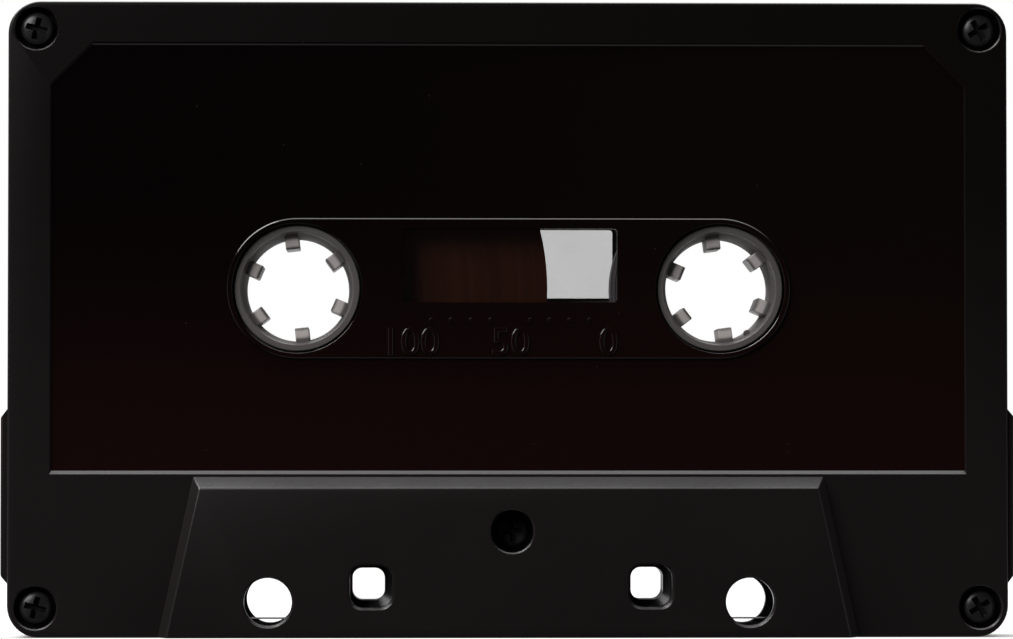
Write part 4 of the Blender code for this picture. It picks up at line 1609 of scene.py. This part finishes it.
@dataclass
class PressureAssembly:
    """The felt pad, its leaf spring and the shield behind them."""

    leaf: float = 0.1 * MM
    end_height: float = 5.35 * MM
    centre_height: float = 4.21 * MM
    flat: float = 2.8 * MM
    post: float = 9.9 * MM
    reach: float = 10.2 * MM

    def pad(self) -> bpy.types.Object:
        """Cuts the felt pad, slightly swollen between its edges.

        Returns:
            The finished piece.
        """
        low, high = Vector((-2.6, -1.9, 2.15)) * MM, Vector((2.6, 1.9, 3.9)) * MM
        solid = Solid().block(low, high).soften(0.32 * MM, 3, lambda edge: True)
        bmesh.ops.subdivide_edges(solid.bm, edges=solid.bm.edges, cuts=3, use_grid_fill=True)
        middle = (low + high) / 2
        for vert in solid.bm.verts:
            pull = 0.06 * MM * math.sin(vert.co.x / MM * 5.0) * math.cos(vert.co.y / MM * 6.0)
            share = 1 if vert.co.z - middle.z > 0 else 0.4
            vert.co.z = min(max(vert.co.z + pull * share, low.z), high.z)
        return solid.object("felt_pad")

    def spring(self) -> bpy.types.Object:
        """Bends the leaf: level under the pad, rising to its two held ends.

        Returns:
            The finished piece.
        """
        rise, run, steps = self.end_height - self.centre_height, self.post - self.flat, 18
        right: Outline = []
        for i in range(steps + 1):
            share = i / steps
            eased = 3 * share**2 - 2 * share**3
            right.append((self.flat + run * share, self.centre_height + rise * eased))
        right.append((self.reach, self.end_height))
        line = [(-x, z) for x, z in reversed(right)] + right
        solid = Solid().prism(ribbon(line, self.leaf), -2 * MM, 2 * MM)
        return solid.soften_sharp(0.02 * MM, 1, 60).object("leaf_spring")

    def shield(self) -> bpy.types.Object:
        """Folds the shield: a shallow channel, open downwards.

        Returns:
            The finished piece.
        """
        x, t, web, lip = 7.6 * MM, 0.35 * MM, 6.3 * MM, 5.2 * MM
        outline = [
            (-x, lip), (t - x, lip), (t - x, web), (x - t, web),
            (x - t, lip), (x, lip), (x, web + t), (-x, web + t),
        ]
        return Solid().prism(outline, -4.2 * MM, 4.2 * MM).soften_sharp(0.08 * MM).object("shield_channel")


# Assembly


@dataclass
class Cassette:
    """The whole cassette: makes each piece, dresses it and sets it riding on its body."""

    made: list[bpy.types.Object] = field(default_factory=list)
    materials: dict[str, bpy.types.Material] = field(default_factory=dict)

    def keep(self, piece: bpy.types.Object, finish: Finish, body: str, nodes: Iterable[str]) -> None:
        """Dresses a finished piece and ties it to the frame.

        Args:
            piece: The piece.
            finish: Its finish.
            body: The body that it rides on.
            nodes: The frame's nodes that it stands for.
        """
        key = repr(finish)
        if key not in self.materials:
            self.materials[key] = finish.shader().material
        finish.dress(piece, self.materials[key])
        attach(piece, body)
        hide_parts(*nodes)
        self.made.append(piece)
        log.info("%s: %d faces on %s", piece.name, len(piece.data.polygons), body)

    def housing(self) -> None:
        """Both halves, their windows, liners and scales, and the screws."""
        plastic = HousingPlastic()
        for side in Side:
            name = side.word
            self.keep(HousingHalf(side).build(), plastic, "housing", [f"{name}_shell"])
            self.keep(Lens(side).build(), ClearPlastic(), "housing", [f"{name}_window"])
            self.keep(Liner(side).build(), LinerFilm(), "housing", [f"{name}_slip_sheet"])
            self.keep(TapeScale(side).build(), plastic, "housing", [])
        black = Metal("black_screw", "screw", (0.030, 0.029, 0.031), 0.30, metallic=0.35)
        for name, place in SCREW_PLACES.items():
            screw = HousingScrew(name, place)
            if name == "middle":
                screw.head_rim -= 0.25 * MM
                screw.head_top -= 0.25 * MM
            self.keep(screw.build(), black, "housing", [f"screw_{name}"])

    def reels(self) -> None:
        """Both reels."""
        left = Reel(Hand.LEFT, 25.2 * MM, 96.3)
        leader = (0.125, 0.112, 0.118)
        right = Reel(Hand.RIGHT, 10.95 * MM, 97.5, gate_mark=True, tape_colour=leader)
        for reel in (left, right):
            body, name = f"{reel.name}_reel", reel.name
            plastic = HubPlastic(f"{name}_hub_plastic", reel.place[0])
            self.keep(reel.hub(), plastic, body, [f"{name}_hub"])
            self.keep(reel.clip(), plastic, body, [f"{name}_hub_clip"])
            oxide = TapeOxide(f"{name}_tape_edges", reel.place[0], colour=reel.tape_colour)
            self.keep(reel.pack(), oxide, body, [f"{name}_tape_pack"])

    def tape_path(self) -> None:
        """Rollers, free tape and the pressure assembly."""
        steel = Metal("ground_steel", "steel", (0.58, 0.58, 0.60), 0.26, (1, 8, 1))
        for hand in Hand:
            name = hand.word
            guide = GuideRoller(hand)
            self.keep(guide.roller(), RollerPlastic(), f"{name}_roller", [f"{name}_guide_roller"])
            self.keep(guide.pin(), steel, "housing", [f"{name}_roller_pin"])
        self.keep(FreeTape().build(), TapeOxide(), "housing", ["tape_run"])
        press = PressureAssembly()
        pad = press.pad()
        self.keep(pad, Felt(), "pad", ["pressure_pad"])
        bronze = Metal("spring_bronze", "bronze", (0.66, 0.40, 0.19), 0.3, (8, 1, 1))
        spring = press.spring()
        self.keep(spring, bronze, "housing", ["pressure_spring"])
        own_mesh(spring)
        shield = Metal("shield_metal", "shield", (0.44, 0.43, 0.41), 0.42, (6, 1, 1))
        self.keep(press.shield(), shield, "housing", ["magnetic_shield"])


# Studio


@dataclass(frozen=True)
class Glow:
    """A part of the surroundings that is brighter than the rest."""

    aim: Point3
    edge: float
    full: float
    strength: float


@dataclass
class Studio:
    """Camera, pale floor and soft light."""

    distance: float = 470 * MM
    eye: Point = (-11.9 * MM, 18.3 * MM)
    view_width: float = 101.6 * MM
    aim: Point = (1.422, 1.653)
    film: float = 36.0
    dim: float = 0.012
    glows: tuple[Glow, ...] = (
        Glow((0.0, 0.3, 0.954), 0.6, 0.97, 5.8),
        Glow((0.0, 1.0, 0.0), 0.3, 1.0, 0.38),
        Glow((0.0, -0.3, -0.954), 0.8, 1.0, 0.45),
        Glow((-0.87, -0.46, -0.17), 0.75, 1.0, 0.4),
        Glow((0.87, -0.46, -0.17), 0.75, 1.0, 0.4),
    )

    def camera(self) -> None:
        """Sets the camera in front, a little left of the middle and below it, and turned to it."""
        data = bpy.data.cameras.new("camera")
        data.sensor_width = self.film
        data.lens = self.film * self.distance / self.view_width
        data.clip_start, data.clip_end = 0.01, 20.0
        camera = placed("camera", data)
        camera.location = (self.eye[0], -(self.distance + BODY_DEPTH), self.eye[1])
        turn, rise = (math.radians(angle) for angle in self.aim)
        camera.rotation_euler = (QUARTER + rise, 0, -turn)
        bpy.context.scene.camera = camera

    def world(self) -> None:
        """White surroundings that light the cassette least from the front."""
        world = bpy.data.worlds.new("studio")
        world.use_nodes = True
        bpy.context.scene.world = world
        world.node_tree.nodes.clear()
        nodes = Nodes(world.node_tree)
        place = nodes.node("ShaderNodeTexCoord", {}, {}).outputs["Generated"]
        total: Value | float = self.dim
        for glow in self.glows:
            dot = nodes.node("ShaderNodeVectorMath", {"operation": "DOT_PRODUCT"}, {0: place, 1: glow.aim})
            toward = Value(nodes, dot.outputs["Value"])
            total = toward.ramp(glow.edge, glow.full, glow.strength) + total
        lights = nodes.node("ShaderNodeBackground", {}, {"Strength": total}).outputs[0]
        backdrop = nodes.node("ShaderNodeBackground", {}, {0: (1, 1, 1)}).outputs[0]
        seen = nodes.node("ShaderNodeLightPath", {}, {}).outputs["Is Camera Ray"]
        choice = nodes.node("ShaderNodeMixShader", {}, {0: seen, 1: lights, 2: backdrop})
        nodes.node("ShaderNodeOutputWorld", {}, {0: choice.outputs[0]})

    def floor(self) -> None:
        """A pale floor whose front edge runs under the cassette."""
        half, front = 150 * MM, -4 * MM
        sheet = bmesh.new()
        bmesh.ops.create_grid(sheet, x_segments=1, y_segments=1, size=half)
        mesh = bpy.data.meshes.new("floor")
        sheet.to_mesh(mesh)
        sheet.free()
        floor = placed("floor", mesh)
        floor.location = (0, half + front, -0.02 * MM)
        shader = Shader("pale_floor")
        shader.set(base_color=(0.34, 0.34, 0.34), roughness=0.7)
        shader.set(emission_color=(1, 1, 1), emission_strength=0.16)
        mesh.materials.append(shader.material)

    def lamp(self, name: str, place: Point3, aim: Point3, size: float, power: float) -> None:
        """Adds a square soft light.

        Args:
            name: Its name.
            place: Where it is.
            aim: The point that it faces.
            size: Length of its side.
            power: Its power in watts.
        """
        data = bpy.data.lights.new(name, "AREA")
        data.shape, data.size, data.energy = "SQUARE", size, power
        lamp = placed(name, data)
        lamp.location = place
        lamp.rotation_euler = (Vector(aim) - Vector(place)).to_track_quat("-Z", "Y").to_euler()

    def build(self) -> None:
        """Sets up the whole studio."""
        self.camera()
        self.world()
        self.floor()
        centre = (0, 0, 0.03)
        self.lamp("top_softbox", (-0.28, 0.08, 0.42), centre, 0.35, 3.5)
        self.lamp("key_softbox", (-0.35, -0.37, 0.35), centre, 0.32, 2.4)
        bpy.context.scene.view_settings.view_transform = "Standard"


def main() -> None:
    """Builds the cassette and its studio."""
    logging.basicConfig(level=logging.INFO, format="%(name)s %(message)s")
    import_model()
    Studio().build()
    cassette = Cassette()
    cassette.housing()
    cassette.reels()
    cassette.tape_path()
    log.info("%d pieces", len(cassette.made))


if __name__ == "__main__":
    main()
